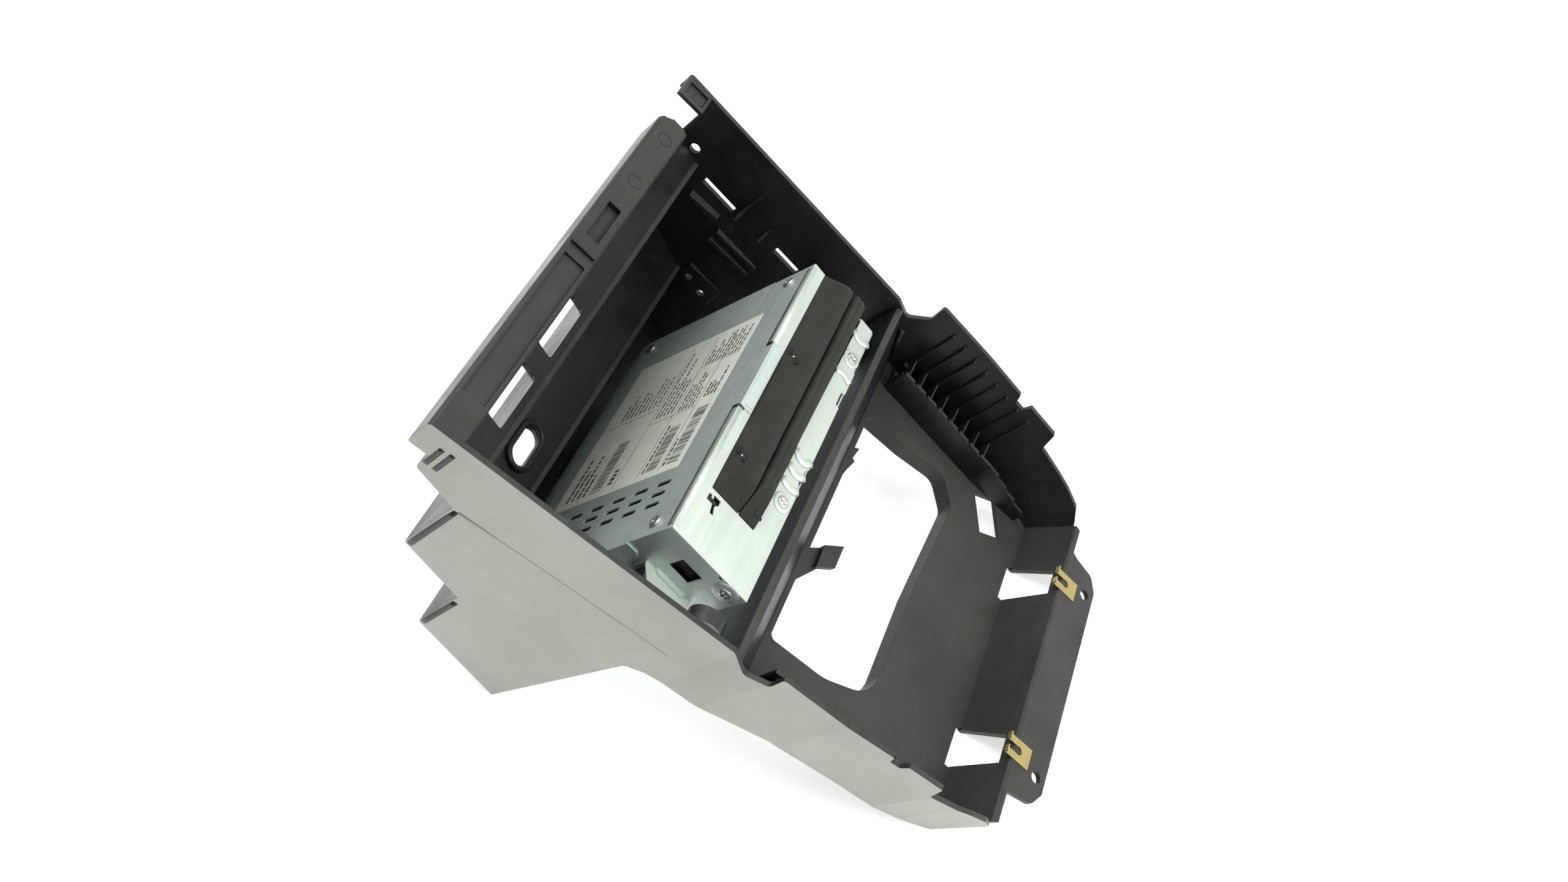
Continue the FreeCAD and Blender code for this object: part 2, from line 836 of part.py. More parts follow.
def right_wall_holes():
    """What goes through the right wall: two upright slots, a round hole and the pad's two holes."""
    start = HALF + 10
    slot_rear = S.wall_slot_front + S.wall_slot_width
    holes = Piece("right_wall_holes")
    holes.add("YZ", start, 40,
              oblong(S.wall_slot_front, S.wall_slot_low, slot_rear, S.wall_slot_low + S.wall_slot_length),
              oblong(S.wall_slot_front - 2, S.small_slot_low, slot_rear - 2,
                     S.small_slot_low + S.small_slot_length),
              Ring(S.wall_hole_y, S.wall_hole_level, S.wall_hole_radius),
              Ring(S.pad_rear - 6, S.pad_high - 5.2, S.pad_hole_radius),
              Ring(S.pad_rear - 3, S.pad_low + 6.9, S.pad_hole_radius))
    return holes.body


def mount_post(name, inside):
    """Post on a side wall, behind the lug of the CD unit that is screwed to it."""
    side = -1 if name.startswith("left") else 1
    near = HALF + S.gauge + 0.4
    far = S.half_top
    corner_x = -far if side < 0 else near
    post_front = S.lug_front + S.gauge
    size = (far - near, 14, S.lug_height - 4)
    post = block(f"{name}_post_box", (corner_x, post_front, -S.lug_top - S.lug_height + 2), size)
    return common(f"{name}_post", in_unit_frame(f"{name}_post_tilted", post), inside.body)


def in_unit_frame(name, thing):
    """Carries an object that is drawn in the unit's frame into the console's frame."""
    compound = group(name, thing)
    compound.Placement = Placement(Vector(), Rotation(Vector(1, 0, 0), 0.001))
    compound.setExpression("Placement.Rotation.Angle", "Sizes.unit_pitch * 1deg")
    return compound


def make_rear_steps(inside):
    """The three rear steps, each a top plate with its raked rear wall."""
    width = S.half_top * 2
    upper_inner = S.upper_rear - RAKED_WALL + S.rear_rake * S.wall
    upper = Piece("upper_rear_step_sheet").add("YZ", -S.half_top, width, [
        (S.beam_rear, S.upper_step),
        (S.upper_rear, S.upper_step, S.edge_round),
        (UPPER_FOOT, S.middle_step),
        (UPPER_FOOT - RAKED_WALL, S.middle_step),
        (upper_inner, S.upper_step - S.wall),
        (S.beam_rear, S.upper_step - S.wall),
    ])
    window_base = S.middle_step + S.rear_window_low
    window_top = window_base + S.rear_window_height
    upper.cut("XZ", S.beam_rear + 1, 40, *[
        oblong(left, window_base, left + wide, window_top, 1.5)
        for left, wide in ((S.left_window_start, S.left_window_width),
                           (S.right_window_start, S.right_window_width))])
    node("upper_rear_step", common("upper_rear_step_fitted", upper.body, inside.body))

    middle_inner = S.middle_rear - RAKED_WALL + S.rear_rake * S.wall
    middle = Piece("middle_rear_step_sheet").add("YZ", -S.half_top, width, [
        (UPPER_FOOT - RAKED_WALL, S.middle_step),
        (S.middle_rear, S.middle_step, S.edge_round),
        (MIDDLE_FOOT, S.lower_step),
        (MIDDLE_FOOT - RAKED_WALL, S.lower_step),
        (middle_inner, S.middle_step - S.wall),
        (UPPER_FOOT - RAKED_WALL, S.middle_step - S.wall),
    ])
    slot = stadium(S.stadium_x, S.stadium_level, S.stadium_width, S.stadium_height)
    middle.cut("XZ", S.middle_rear - 12, 40, slot)
    node("middle_rear_step", common("middle_rear_step_fitted", middle.body, inside.body))

    lower_inner = S.lower_rear - RAKED_WALL + S.rear_rake * S.wall
    lower = Piece("lower_rear_step_sheet").add("YZ", -S.half_top, width, [
        (MIDDLE_FOOT - RAKED_WALL, S.lower_step),
        (S.lower_rear, S.lower_step, S.edge_round),
        (REAR_LOW_Y, REAR_LOW_Z),
        (REAR_LOW_Y - RAKED_WALL, REAR_LOW_Z),
        (lower_inner, S.lower_step - S.wall),
        (MIDDLE_FOOT - RAKED_WALL, S.lower_step - S.wall),
    ])
    node("lower_rear_step", common("lower_rear_step_fitted", lower.body, inside.body))


def stadium(x, y, wide, high):
    """Outline of a slot with round ends, its straight parts a hair longer than nothing."""
    radius = high / 2 - 0.05
    return oblong(x - wide / 2, y - high / 2, x + wide / 2, y + high / 2, radius)


def make_top_beam(inside):
    """The beam over the opening: front lip, top and rear web."""
    width = S.half_top * 2
    beam = Piece("top_beam_sheet").add("YZ", -S.half_top, width, [
        (0, S.beam_low, 1),
        (0, S.beam_top, 2),
        (S.beam_rear, S.beam_top, 1.5),
        (S.beam_rear, S.upper_step - S.wall),
        (S.beam_rear - S.wall, S.upper_step - S.wall),
        (S.beam_rear - S.wall, S.beam_top - S.wall),
        (S.wall, S.beam_top - S.wall),
        (S.wall, S.beam_low, 1),
    ])
    low = S.beam_low + S.beam_margin
    high = S.beam_top - S.beam_margin
    beam.add("XZ", -S.beam_bracket_rise, S.beam_bracket_rise + 1, oblong(
        -S.beam_bracket_left, low, S.beam_block_start, high))
    beam.add("XZ", -S.beam_block_rise, S.beam_block_rise + 1, [
        (S.beam_block_start - 1, low), (S.beam_gap_start, low, 2), (S.beam_gap_start, high, 6),
        (S.beam_block_start - 1, high)])
    beam.cut("XZ", -1, 1 + S.beam_groove, oblong(
        -S.beam_groove_left, low + 1, -S.beam_groove_right, high - 1))
    beam.cut("XZ", -S.beam_bracket_rise - 1, S.beam_bracket_rise + 2.2, oblong(
        -S.beam_bracket_left + 8, low + 3, S.beam_block_start - 8, high - 3))
    beam.cut("XZ", -3, S.wall + 3.5, oblong(S.beam_gap_start, S.beam_low - 1, S.beam_gap_end, S.beam_top + 1))
    beam.cut("XZ", -1, 1 + S.beam_groove, oblong(
        S.beam_gap_end + 2.5, low + 0.5, S.half_top - 5, high - 1))
    node("top_beam", common("top_beam_fitted", beam.body, inside.body))


def make_bay_flange(inside):
    """The flange below the CD unit: a shelf, a nose and a leg that runs down to the floor plate."""
    leg_slope = (S.plate_top - S.nose_level) / (S.plate_depth - S.nose_depth)
    leg_wall = S.wall * 1.2
    inner_end = -S.plate_top + leg_wall - leg_slope * S.wall
    inner_nose_y = S.nose_depth + S.wall * 1.7
    inner_nose_z = inner_end + leg_slope * (PLATE_BACK - inner_nose_y)
    shelf_top = -S.nose_level + S.wall + 0.6
    flange = Piece("bay_flange_sheet").add("YZ", -S.half_top, S.half_top * 2, [
        (S.flange_rear, shelf_top + 1),
        (S.nose_depth + 1.5, shelf_top, 1.2),
        (S.nose_depth, -S.nose_level, 1.2),
        (S.plate_depth, -S.plate_top),
        (PLATE_BACK, -S.plate_top),
        (PLATE_BACK, inner_end),
        (inner_nose_y, inner_nose_z),
        (S.flange_rear, shelf_top + 1 - S.wall),
    ])
    node("bay_flange", common("bay_flange_fitted", flange.body, inside.body))


def lever_opening(grow):
    """Outline of the lever opening, its edge moved out by grow."""
    top = -S.plate_top - S.opening_top_margin
    half = S.opening_half + grow
    return [
        (-half, top + grow, S.edge_round),
        (-half + 2, -S.opening_left_level, S.opening_left_round),
        (-half + 12, -S.opening_low - grow, S.opening_low_round),
        (0, -S.opening_low - 0.5 - grow),
        (S.opening_bulge - 14, -S.opening_low_right - grow, S.opening_right_round),
        (S.opening_bulge + grow, -S.opening_low + 7, S.opening_right_round),
        (half + 1.5, -S.opening_right_level, S.opening_right_round * 1.5),
        (half, top + grow, S.edge_round),
    ]


def make_floor_plate(inside):
    """The recessed plate with the lever opening and the rim behind its edge."""
    plate = Piece("floor_plate_sheet")
    plate.add("XZ", S.plate_depth, S.wall,
              oblong(-S.half_top, -S.plate_end, S.half_top, -S.plate_top))
    plate.add("XZ", PLATE_BACK, S.rim_depth, lever_opening(2))
    plate.cut("XZ", S.plate_depth - 1, S.rim_depth + S.wall + 2, lever_opening(0))
    hole_top = -S.side_hole_level
    hole_right = S.side_hole_x + S.side_hole_shift
    along = (S.side_hole_length * 0.86, S.side_hole_length * 0.5)
    across = (S.side_hole_width * 0.43, S.side_hole_width * 0.9)
    plate.cut("XZ", S.plate_depth - 1, S.wall + 2, [
        (hole_right, hole_top),
        (hole_right + across[0], hole_top - across[1]),
        (hole_right + across[0] - along[0], hole_top - across[1] - along[1]),
        (hole_right - along[0], hole_top - along[1]),
    ])
    plate.cut("XZ", S.plate_depth - 1, S.wall + 2, *[
        oblong(x - S.clip_hole_half, -S.plate_end - 1, x + S.clip_hole_half, -S.plate_end + 3.4)
        for x in (-S.clip_hole_x, S.clip_hole_x)])
    add_tongues(plate)
    add_side_ledges(plate)
    node("floor_plate", common("floor_plate_fitted", plate.body, inside.body))


def add_tongues(plate):
    """A barbed tongue and a stepped tongue at the lever opening's upper edge, and a forked hook."""
    edge = -S.plate_top - S.opening_top_margin + 0.8
    tip = edge + 0.8 - S.barb_drop + 2.3
    plate.add("XZ", S.plate_depth, S.wall, [
        (S.barb_left, edge), (S.barb_left + 8, tip + 2.3), (S.barb_right - 9, tip),
        (S.barb_right - 8, tip + 1.8), (S.barb_right, tip + 0.4), (S.barb_right - 1.2, tip + 2.8),
        (S.barb_right - 10, edge)])
    low = edge - S.tongue_drop + 3
    bend = (edge + low) / 2
    half_shift = S.tongue_shift / 2
    plate.add("XZ", S.plate_depth, S.wall, [
        (S.tongue_left, edge), (S.tongue_right, edge), (S.tongue_right + half_shift, bend),
        (S.tongue_left + S.tongue_shift + 3, bend - 1.5)])
    plate.add("XZ", S.plate_depth - S.tongue_step, S.tongue_step + 0.4, [
        (S.tongue_left + S.tongue_shift, bend + 1.5), (S.tongue_right + half_shift - 1, bend + 2),
        (S.tongue_right + S.tongue_shift, low), (S.tongue_left + S.tongue_shift + 7, low)])
    right = S.hook_left + S.hook_width
    plate.add("XY", -S.hook_level, S.hook_height, [
        (S.hook_left, S.plate_depth + 0.5), (S.hook_left, S.hook_front),
        (S.hook_left + S.hook_thick, S.hook_front),
        (S.hook_left + S.hook_thick, S.plate_depth - S.hook_thick),
        (right - S.hook_thick, S.plate_depth - S.hook_thick),
        (right - S.hook_thick, S.hook_front + 2), (right, S.hook_front + 2),
        (right, S.plate_depth + 0.5)])


def add_side_ledges(plate):
    """Inner walls beside the lever opening, with a toothed edge, and thin ribs out to the flared walls."""
    high = -S.ledge_start
    low = -S.ledge_end
    rise = S.plate_depth - S.ledge_front + 1
    pitch = (S.ledge_end - S.ledge_start) / S.ledge_teeth
    notches = []
    for side in (-1, 1):
        plate.add("XZ", S.ledge_front, rise, [
            (side * S.ledge_half, high), (side * (S.ledge_half + S.ledge_thick), high),
            (side * (S.ledge_half_low + S.ledge_thick), low), (side * S.ledge_half_low, low)])
        near = side * (S.ledge_half_low - 1)
        far = side * (S.ledge_half + S.ledge_thick + 1)
        for index in range(1, int(SIZES["ledge_teeth"])):
            level = high - pitch * index
            notches.append(oblong(near, level, far, level + S.ledge_gap))
    plate.cut("XZ", S.ledge_front - 1, S.ledge_tooth + 1, *notches)
    for side in (-1, 1):
        for index in range(int(SIZES["ledge_teeth"])):
            level = high - pitch * (index + 0.5)
            faces = [side * (flare_half(level, depth) - S.wall - S.flare_rib_height)
                     for depth in (-S.flare_rib_front, S.ledge_front + 2)]
            ledge = side * (S.ledge_half_low + 1)
            outer = side * S.half_top
            plate.add("XY", level, S.flare_rib_thick, [
                (ledge, S.plate_depth + 0.5), (outer, S.plate_depth + 0.5), (outer, -S.flare_rib_front),
                (faces[0], -S.flare_rib_front), (faces[1], S.ledge_front + 2),
                (ledge, S.ledge_front + 4)])


def flare_half(level, depth):
    """Half width of the flared walls' outside near a level and depth beside the lever opening."""
    fall = (-level - S.ear_top) / (S.ear_low - S.ear_top)
    inward = (depth + S.ear_front) / (S.plate_depth + S.ear_front)
    return S.half_ear - (S.half_ear - S.half_hook) * fall - S.ear_flare * inward


def make_end(inside):
    """The riser at the lower end, and the tab that is screwed down."""
    riser = Piece("end_riser_sheet").add("YZ", -S.half_top, S.half_top * 2, [
        (S.plate_depth, -S.plate_end),
        (PLATE_BACK, -S.plate_end),
        (PLATE_BACK, END_LOW_Z),
        (S.tab_depth + S.wall, -S.tab_top),
        (S.tab_depth, -S.tab_top),
        (S.tab_depth, -S.tab_top + 2.9, 2),
    ])
    riser.cut("XY", -S.tab_top - 5, 30, *[
        [(x - S.clip_hole_end_half, S.clip_hole_near),
         (x + S.clip_hole_end_half, S.clip_hole_near),
         (x + S.clip_hole_half, S.clip_hole_far + 10),
         (x - S.clip_hole_half, S.clip_hole_far + 10)]
        for x in (-S.clip_hole_x, S.clip_hole_x)])
    node("end_riser", common("end_riser_fitted", riser.body, inside.body))

    tab = Piece("end_tab")
    tab.add("XZ", S.tab_depth, S.wall, [
        (-S.tab_half, -S.tab_top),
        (-S.tab_half + 1.7, -S.tab_top - 3.6, 3),
        (-S.tab_half + 4.1, -S.tab_end + 4.8, 4),
        (-S.tab_end_half, -S.tab_end, 3),
        (S.tab_end_half, -S.tab_end, 3),
        (S.tab_half - 4.1, -S.tab_end + 4.8, 4),
        (S.tab_half - 1.7, -S.tab_top - 3.6, 3),
        (S.tab_half, -S.tab_top),
    ])
    holes = [(x, -S.tab_hole_level) for x in (-S.tab_hole_x, S.tab_hole_x)]
    tab.cut("XZ", S.tab_depth - 1, S.wall + 2, *[Ring(x, z, S.tab_hole_radius) for x, z in holes])
    node("end_tab", tab)


def make_spring_nuts():
    """Two spring nuts on the tab, each a holed plate with a forked upper end that is bent forward."""
    for name, side in (("left_spring_nut", -1), ("right_spring_nut", 1)):
        left = side * S.nut_x - S.nut_width / 2
        right = left + S.nut_width
        high = -S.tab_top + S.nut_rise
        low = high - S.nut_length
        middle = (low + high) / 2
        front = S.tab_depth - S.nut_gauge
        lip_front = front - S.nut_lip
        nut = Piece(name)
        nut.add("XZ", front, S.nut_gauge, oblong(left, low, right, high))
        nut.add("XZ", lip_front, S.nut_lip + 0.1, oblong(left, high - S.nut_gauge, right, high))
        nut.cut("XZ", front - 1, S.nut_gauge + 2, Ring(side * S.nut_x, middle, S.nut_hole))
        nut.cut("XZ", lip_front - 1, S.nut_lip + S.nut_gauge + 2,
                oblong(side * S.nut_x - S.nut_slot, middle, side * S.nut_x + S.nut_slot, high + 1))
        node(name, nut)


def make_chassis():
    """Folded tray of the CD unit with its board posts, deck posts and rear cut-out."""
    chassis = Piece("unit_chassis")
    chassis.add("XY", -S.case_height, S.gauge, oblong(-HALF, S.gauge, HALF, S.case_depth))
    side_outline = [(S.gauge, -S.case_height), (S.case_depth, -S.case_height),
                    (S.case_depth, -S.gauge), (S.gauge, -S.gauge)]
    chassis.add("YZ", -HALF, S.gauge, side_outline)
    chassis.add("YZ", HALF - S.gauge, S.gauge, side_outline)
    chassis.add("XZ", S.case_depth - S.gauge, S.gauge, oblong(-HALF, -S.case_height, HALF, -S.gauge))
    board_posts = [oblong(x - S.post_radius, y - S.post_radius, x + S.post_radius, y + S.post_radius)
                   for x, y in board_post_places()]
    chassis.add("XY", -S.case_height, S.gauge + S.board_standoff, *board_posts)
    post_height = DECK_LOW - S.grommet_height + S.case_height
    deck_posts = [Ring(x, y, S.deck_post_radius) for x, y in deck_post_places()]
    chassis.add("XY", -S.case_height, post_height, *deck_posts)
    left = S.connector_x - S.connector_width / 2 - 0.1
    low = connector_low() - 0.1
    chassis.cut("XZ", S.case_depth - 2, 4, oblong(
        left, low, left + S.connector_width + 0.2, low + S.connector_height + 0.2))
    chassis.cut("YZ", -HALF - 1, S.gauge + 2, oblong(
        S.side_window_front, -S.side_window_low, S.side_window_rear, -S.side_window_top))
    notches = [-S.edge_notch_top - S.edge_notch_pitch * index for index in range(3)]
    chassis.cut("YZ", -HALF - 1, S.gauge + 2, *[
        oblong(S.gauge - 0.5, high - S.edge_notch_height, S.gauge + S.edge_notch_depth, high)
        for high in notches])
    node("unit_chassis", chassis, in_unit=True)


def connector_low():
    """Height of the rear connector's underside, which rests on the main board."""
    return BOARD_TOP


def board_post_places():
    """Where the four posts carry the main board."""
    front = S.gauge + S.board_post_inset + 2
    rear = S.case_depth - S.board_post_inset - 4
    side = HALF - S.board_post_inset
    return [(-side, front), (side, front), (-side, rear), (side, rear)]


def deck_post_places():
    """Where the four posts carry the mechanism deck through its grommets."""
    rear = S.deck_post_front + S.deck_post_span
    return [(x, y) for x in (-S.deck_post_x, S.deck_post_x) for y in (S.deck_post_front, rear)]


def make_cover():
    """Top cover with its vent slots and the tab that folds over the front plate."""
    cover = Piece("unit_top_cover")
    front = S.gauge + S.cover_gap
    cover.add("XY", -S.gauge, S.gauge, oblong(-HALF, front, HALF, S.case_depth))
    cover.add("XY", -S.gauge, S.gauge, oblong(S.tab_left, -S.gauge - 0.1, S.tab_right, front + 1))
    cover.add("XZ", -S.gauge - 0.1, S.gauge, oblong(S.tab_left, -S.tab_drop, S.tab_right, 0, 0.6))
    slots = []
    for vent_row in range(3):
        centre_x = -S.vent_first_x - S.vent_row_pitch * vent_row
        for place in range(5 if vent_row == 0 else 4):
            centre_y = S.vent_first_y + S.vent_pitch * place
            slots.append(vent_slot(centre_x, centre_y))
    cover.cut("XY", -S.gauge - 1, S.gauge + 2, *slots)
    emboss_front = -S.gauge - 0.1 - S.emboss_rise
    cover.add("XZ", emboss_front, S.emboss_rise + 0.1, oblong(
        S.tab_left + S.emboss_margin, -S.tab_drop + S.emboss_margin * 0.6,
        S.tab_right - S.emboss_margin, -S.emboss_margin * 0.7, 1.4))
    for start in (-HALF - S.gauge, HALF):
        cover.add("YZ", start, S.gauge, [
            (S.cover_lip_front, term(0)), (S.cover_lip_front, -S.cover_lip + 2),
            (S.cover_lip_front + 2, -S.cover_lip), (S.case_depth - 4, -S.cover_lip),
            (S.case_depth - 4, term(0))])
    node("unit_top_cover", cover, in_unit=True)


def vent_slot(x, y):
    """Outline of one vent slot, its ends narrowed by cut corners."""
    half_width = S.vent_width / 2
    half_length = S.vent_length / 2
    trim = S.vent_width * 0.32
    return [
        (x - half_width, y - half_length + trim), (x - half_width + trim, y - half_length),
        (x + half_width - trim, y - half_length), (x + half_width, y - half_length + trim),
        (x + half_width, y + half_length - trim), (x + half_width - trim, y + half_length),
        (x - half_width + trim, y + half_length), (x - half_width, y + half_length - trim)]


def cover_screw_places():
    """Where the cover is screwed to the chassis."""
    side = HALF - 7.4
    rear = S.case_depth - 12
    return [(-side, term(14.6)), (side, term(14.6)), (-side, rear), (side, rear)]


def front_screw_places():
    """Where the front plate's bottom strip is screwed on."""
    level = -S.case_height + S.strip_height * 0.55
    return [(term(-35.4), level), (term(63.2), level)]


def make_front_plate():
    """Front plate with the window for the slot, open at its right-hand end."""
    left = S.window_left
    bevel_x = left + S.window_bevel
    strip_top = -S.case_height + S.strip_height
    notch = S.gauge + 0.05
    plate = Piece("unit_front_plate")
    plate.add("XZ", 0, S.gauge, [
        (-HALF, -S.case_height),
        (-S.strip_notch_left + 5.8, -S.case_height),
        (-S.strip_notch_left + 14, -S.case_height + S.strip_notch),
        (-S.strip_notch_left + 21.6, -S.case_height + S.strip_notch * 0.6),
        (-S.strip_notch_left + 23, -S.case_height),
        (S.strip_notch_left, -S.case_height),
        (S.strip_notch_left + 0.6, -S.case_height + S.strip_notch),
        (S.strip_notch_right - 0.6, -S.case_height + S.strip_notch),
        (S.strip_notch_right, -S.case_height),
        (S.strip_step_x, -S.case_height),
        (S.strip_step_x + 1, -S.case_height + S.strip_step),
        (HALF, -S.case_height + S.strip_step),
        (HALF, strip_top),
        (bevel_x, strip_top + 2.0, 2),
        (left, -S.window_left_low, 1),
        (left, -S.window_top - 2.2, 2),
        (left + 8, -S.window_top, 3),
        (term(49.0), -S.window_top, 1.5),
        (term(52.0), -S.window_top + 0.8, 1.5),
        (term(57.5), -S.window_top - 2.6, 2),
        (HALF - S.ear_width, -S.window_top - 2.6, 2),
        (HALF, -S.ear_drop, 1),
        (HALF, term(0)),
        (S.tab_right + 0.4, term(0)),
        (S.tab_right + 0.4, -notch),
        (S.tab_left - 0.4, -notch),
        (S.tab_left - 0.4, term(0)),
        (-S.corner_notch_x + 3, term(0)),
        (-S.corner_notch_x + 2.2, term(-2.4)),
        (-S.corner_notch_x - 2, term(-2)),
        (-S.corner_notch_x - 3, term(0)),
        (-HALF, term(0)),
    ])
    plate.cut("XZ", -1, S.gauge + 2, [
        (term(-69.6), term(-12.2)), (term(-61.0), term(-10.4)), (term(-61.0), term(-14.6)),
        (term(-64.0), term(-14.6)), (term(-64.8), term(-12.8)), (term(-69.6), term(-14.4))])
    plate.cut("XZ", -1, S.gauge + 2, [
        (term(-50.1), term(-31.2)), (term(-51.2), term(-31)), (term(-52.7), term(-36.3)),
        (term(-51.6), term(-36.5))])
    node("unit_front_plate", plate, in_unit=True)
    return plate


def make_lips(plate):
    """Upper and lower felt lip of the disc slot, let into the front plate's window."""
    left = S.window_left - 1
    length = HALF - left
    upper_low = SLOT_Z + S.slot_gap / 2
    lower_high = SLOT_Z - S.slot_gap / 2
    upper = Piece("slot_upper_lip_felt").add("YZ", left, length, [
        (S.gauge, -S.window_top + 1),
        (term(0), -S.window_top + 1),
        (term(0), -S.window_top - 0.5),
        (-S.lip_reach + 0.6, -S.window_top - S.lip_bevel, 1.5),
        (-S.lip_reach, upper_low, 0.6),
        (S.gauge, upper_low),
    ])
    upper.cut("XY", -S.case_height, S.case_height, [
        (HALF - S.ear_width, term(-20)), (HALF + 1, term(-20)),
        (HALF + 1, term(-S.lip_reach + 1)), (HALF - S.ear_width, term(-S.lip_reach - 1))])
    node("slot_upper_lip", cut("slot_upper_lip_fitted", upper.body, plate.body), in_unit=True)
    lower = Piece("slot_lower_lip_felt").add("YZ", left, length, [
        (S.gauge, lower_high),
        (-S.lower_lip_face, lower_high, 0.8),
        (-S.lower_lip_face - 0.5, lower_high - 3.2, 0.8),
        (-S.lip_reach + 0.8, -S.case_height + S.strip_height + 4.6, 0.8),
        (term(0), -S.case_height + S.strip_height + 2.4),
        (term(0), -S.case_height + S.strip_height - 1),
        (S.gauge, -S.case_height + S.strip_height - 1),
    ])
    node("slot_lower_lip", cut("slot_lower_lip_fitted", lower.body, plate.body), in_unit=True)


def make_label():
    """Bare label on the top cover."""
    label = Piece("unit_label").add("XY", 0, S.label_thick, oblong(
        S.label_left, S.label_front, S.label_left + S.label_width, S.label_front + S.label_depth))
    node("unit_label", label, in_unit=True)


def make_lug(name, side):
    """Lug bracket: a foot on the chassis side and a plate with a screw notch."""
    reach = S.lug_reach + S.gauge
    inner = HALF * side
    top = -S.lug_top
    low = top - S.lug_height
    outer = inner + side * reach
    mid = (top + low) / 2
    lug = Piece(name)
    lug.add("XZ", S.lug_front, S.gauge, [
        (inner, top), (inner + side * 1.6, top), (outer, top - 6.9), (outer - side * 0.5, mid + 3),
        (outer - side * S.lug_notch, mid - 0.5, 2), (outer - side * 1.2, mid - 3.7),
        (outer - side * 2, low + 4.8), (outer - side * 6.5, low), (inner, low)])
    fold_far = inner + side * S.lug_fold_width
    lug.add("XZ", S.lug_front - S.lug_fold, S.lug_fold + 0.1, [
        (inner, top - 5), (fold_far, top - 7), (fold_far, low + 6), (inner, low + 4)])
    foot_start = inner - S.gauge if side < 0 else inner
    lug.add("YZ", foot_start, S.gauge, oblong(S.lug_front, low, S.lug_front + S.lug_foot, top))
    node(name, lug, in_unit=True)


def screw(name, x, y, z, axis):
    """Pan head of a sheet-metal screw, standing on its seat."""
    return rod(name, (x, y, z), S.screw_head, S.screw_head_height, axis)


def make_case_screws():
    """All screws that close the case."""
    screws = [screw(f"cover_screw_{index}", x, y, term(0), "z")
              for index, (x, y) in enumerate(cover_screw_places(), start=1)]
    screws += [screw(f"front_screw_{index}", x, term(0), z, "-y")
               for index, (x, z) in enumerate(front_screw_places(), start=1)]
    screws += [screw(f"side_screw_{index}", x, S.side_screw_y, -S.side_screw_level, axis)
               for index, (x, axis) in enumerate(((-HALF, "-x"), (HALF, "x")), start=1)]
    node("case_screws", group("case_screw_set", *screws), in_unit=True)


def make_board():
    """Main circuit board on its posts."""
    board = Piece("main_board")
    side = HALF - S.board_inset
    rear = S.case_depth - S.gauge - 1
    board.add("XY", BOARD_LOW, S.board_thick, oblong(-side, S.board_inset, side, rear))
    board.cut("XY", BOARD_LOW - 1, S.board_thick + 2, *[
        oblong(x - S.board_relief, y - S.board_relief, x + S.board_relief, y + S.board_relief)
        for x, y in deck_post_places()])
    node("main_board", board, in_unit=True)


def make_connector():
    """Rear connector: a housing on the board that comes out through the rear plate."""
    left = S.connector_x - S.connector_width / 2
    low = connector_low()
    front = S.case_depth - S.connector_depth
    housing = Piece("rear_connector")
    housing.add("XZ", front, S.connector_depth + S.connector_reach, oblong(
        left, low, left + S.connector_width, low + S.connector_height))
    housing.cut("XZ", S.case_depth + S.connector_reach - 8, 9, oblong(
        left + 2, low + 2, left + S.connector_width - 2, low + S.connector_height - 2))
    node("rear_connector", housing, in_unit=True)


def make_heat_sink():
    """Finned heat sink on the rear plate."""
    left = S.sink_x - S.sink_width / 2
    low = -S.case_height + 8
    high = -8
    sink = Piece("heat_sink")
    sink.add("XZ", S.case_depth, S.sink_base, oblong(left, low, left + S.sink_width, high))
    pitch = (S.sink_width - S.sink_fin_thick) / (S.sink_fins - 1)
    fins = [oblong(left + pitch * index, low, left + pitch * index + S.sink_fin_thick, high)
            for index in range(int(SIZES["sink_fins"]))]
    sink.add("XZ", S.case_depth, S.sink_base + S.sink_fin, *fins)
    node("heat_sink", sink, in_unit=True)


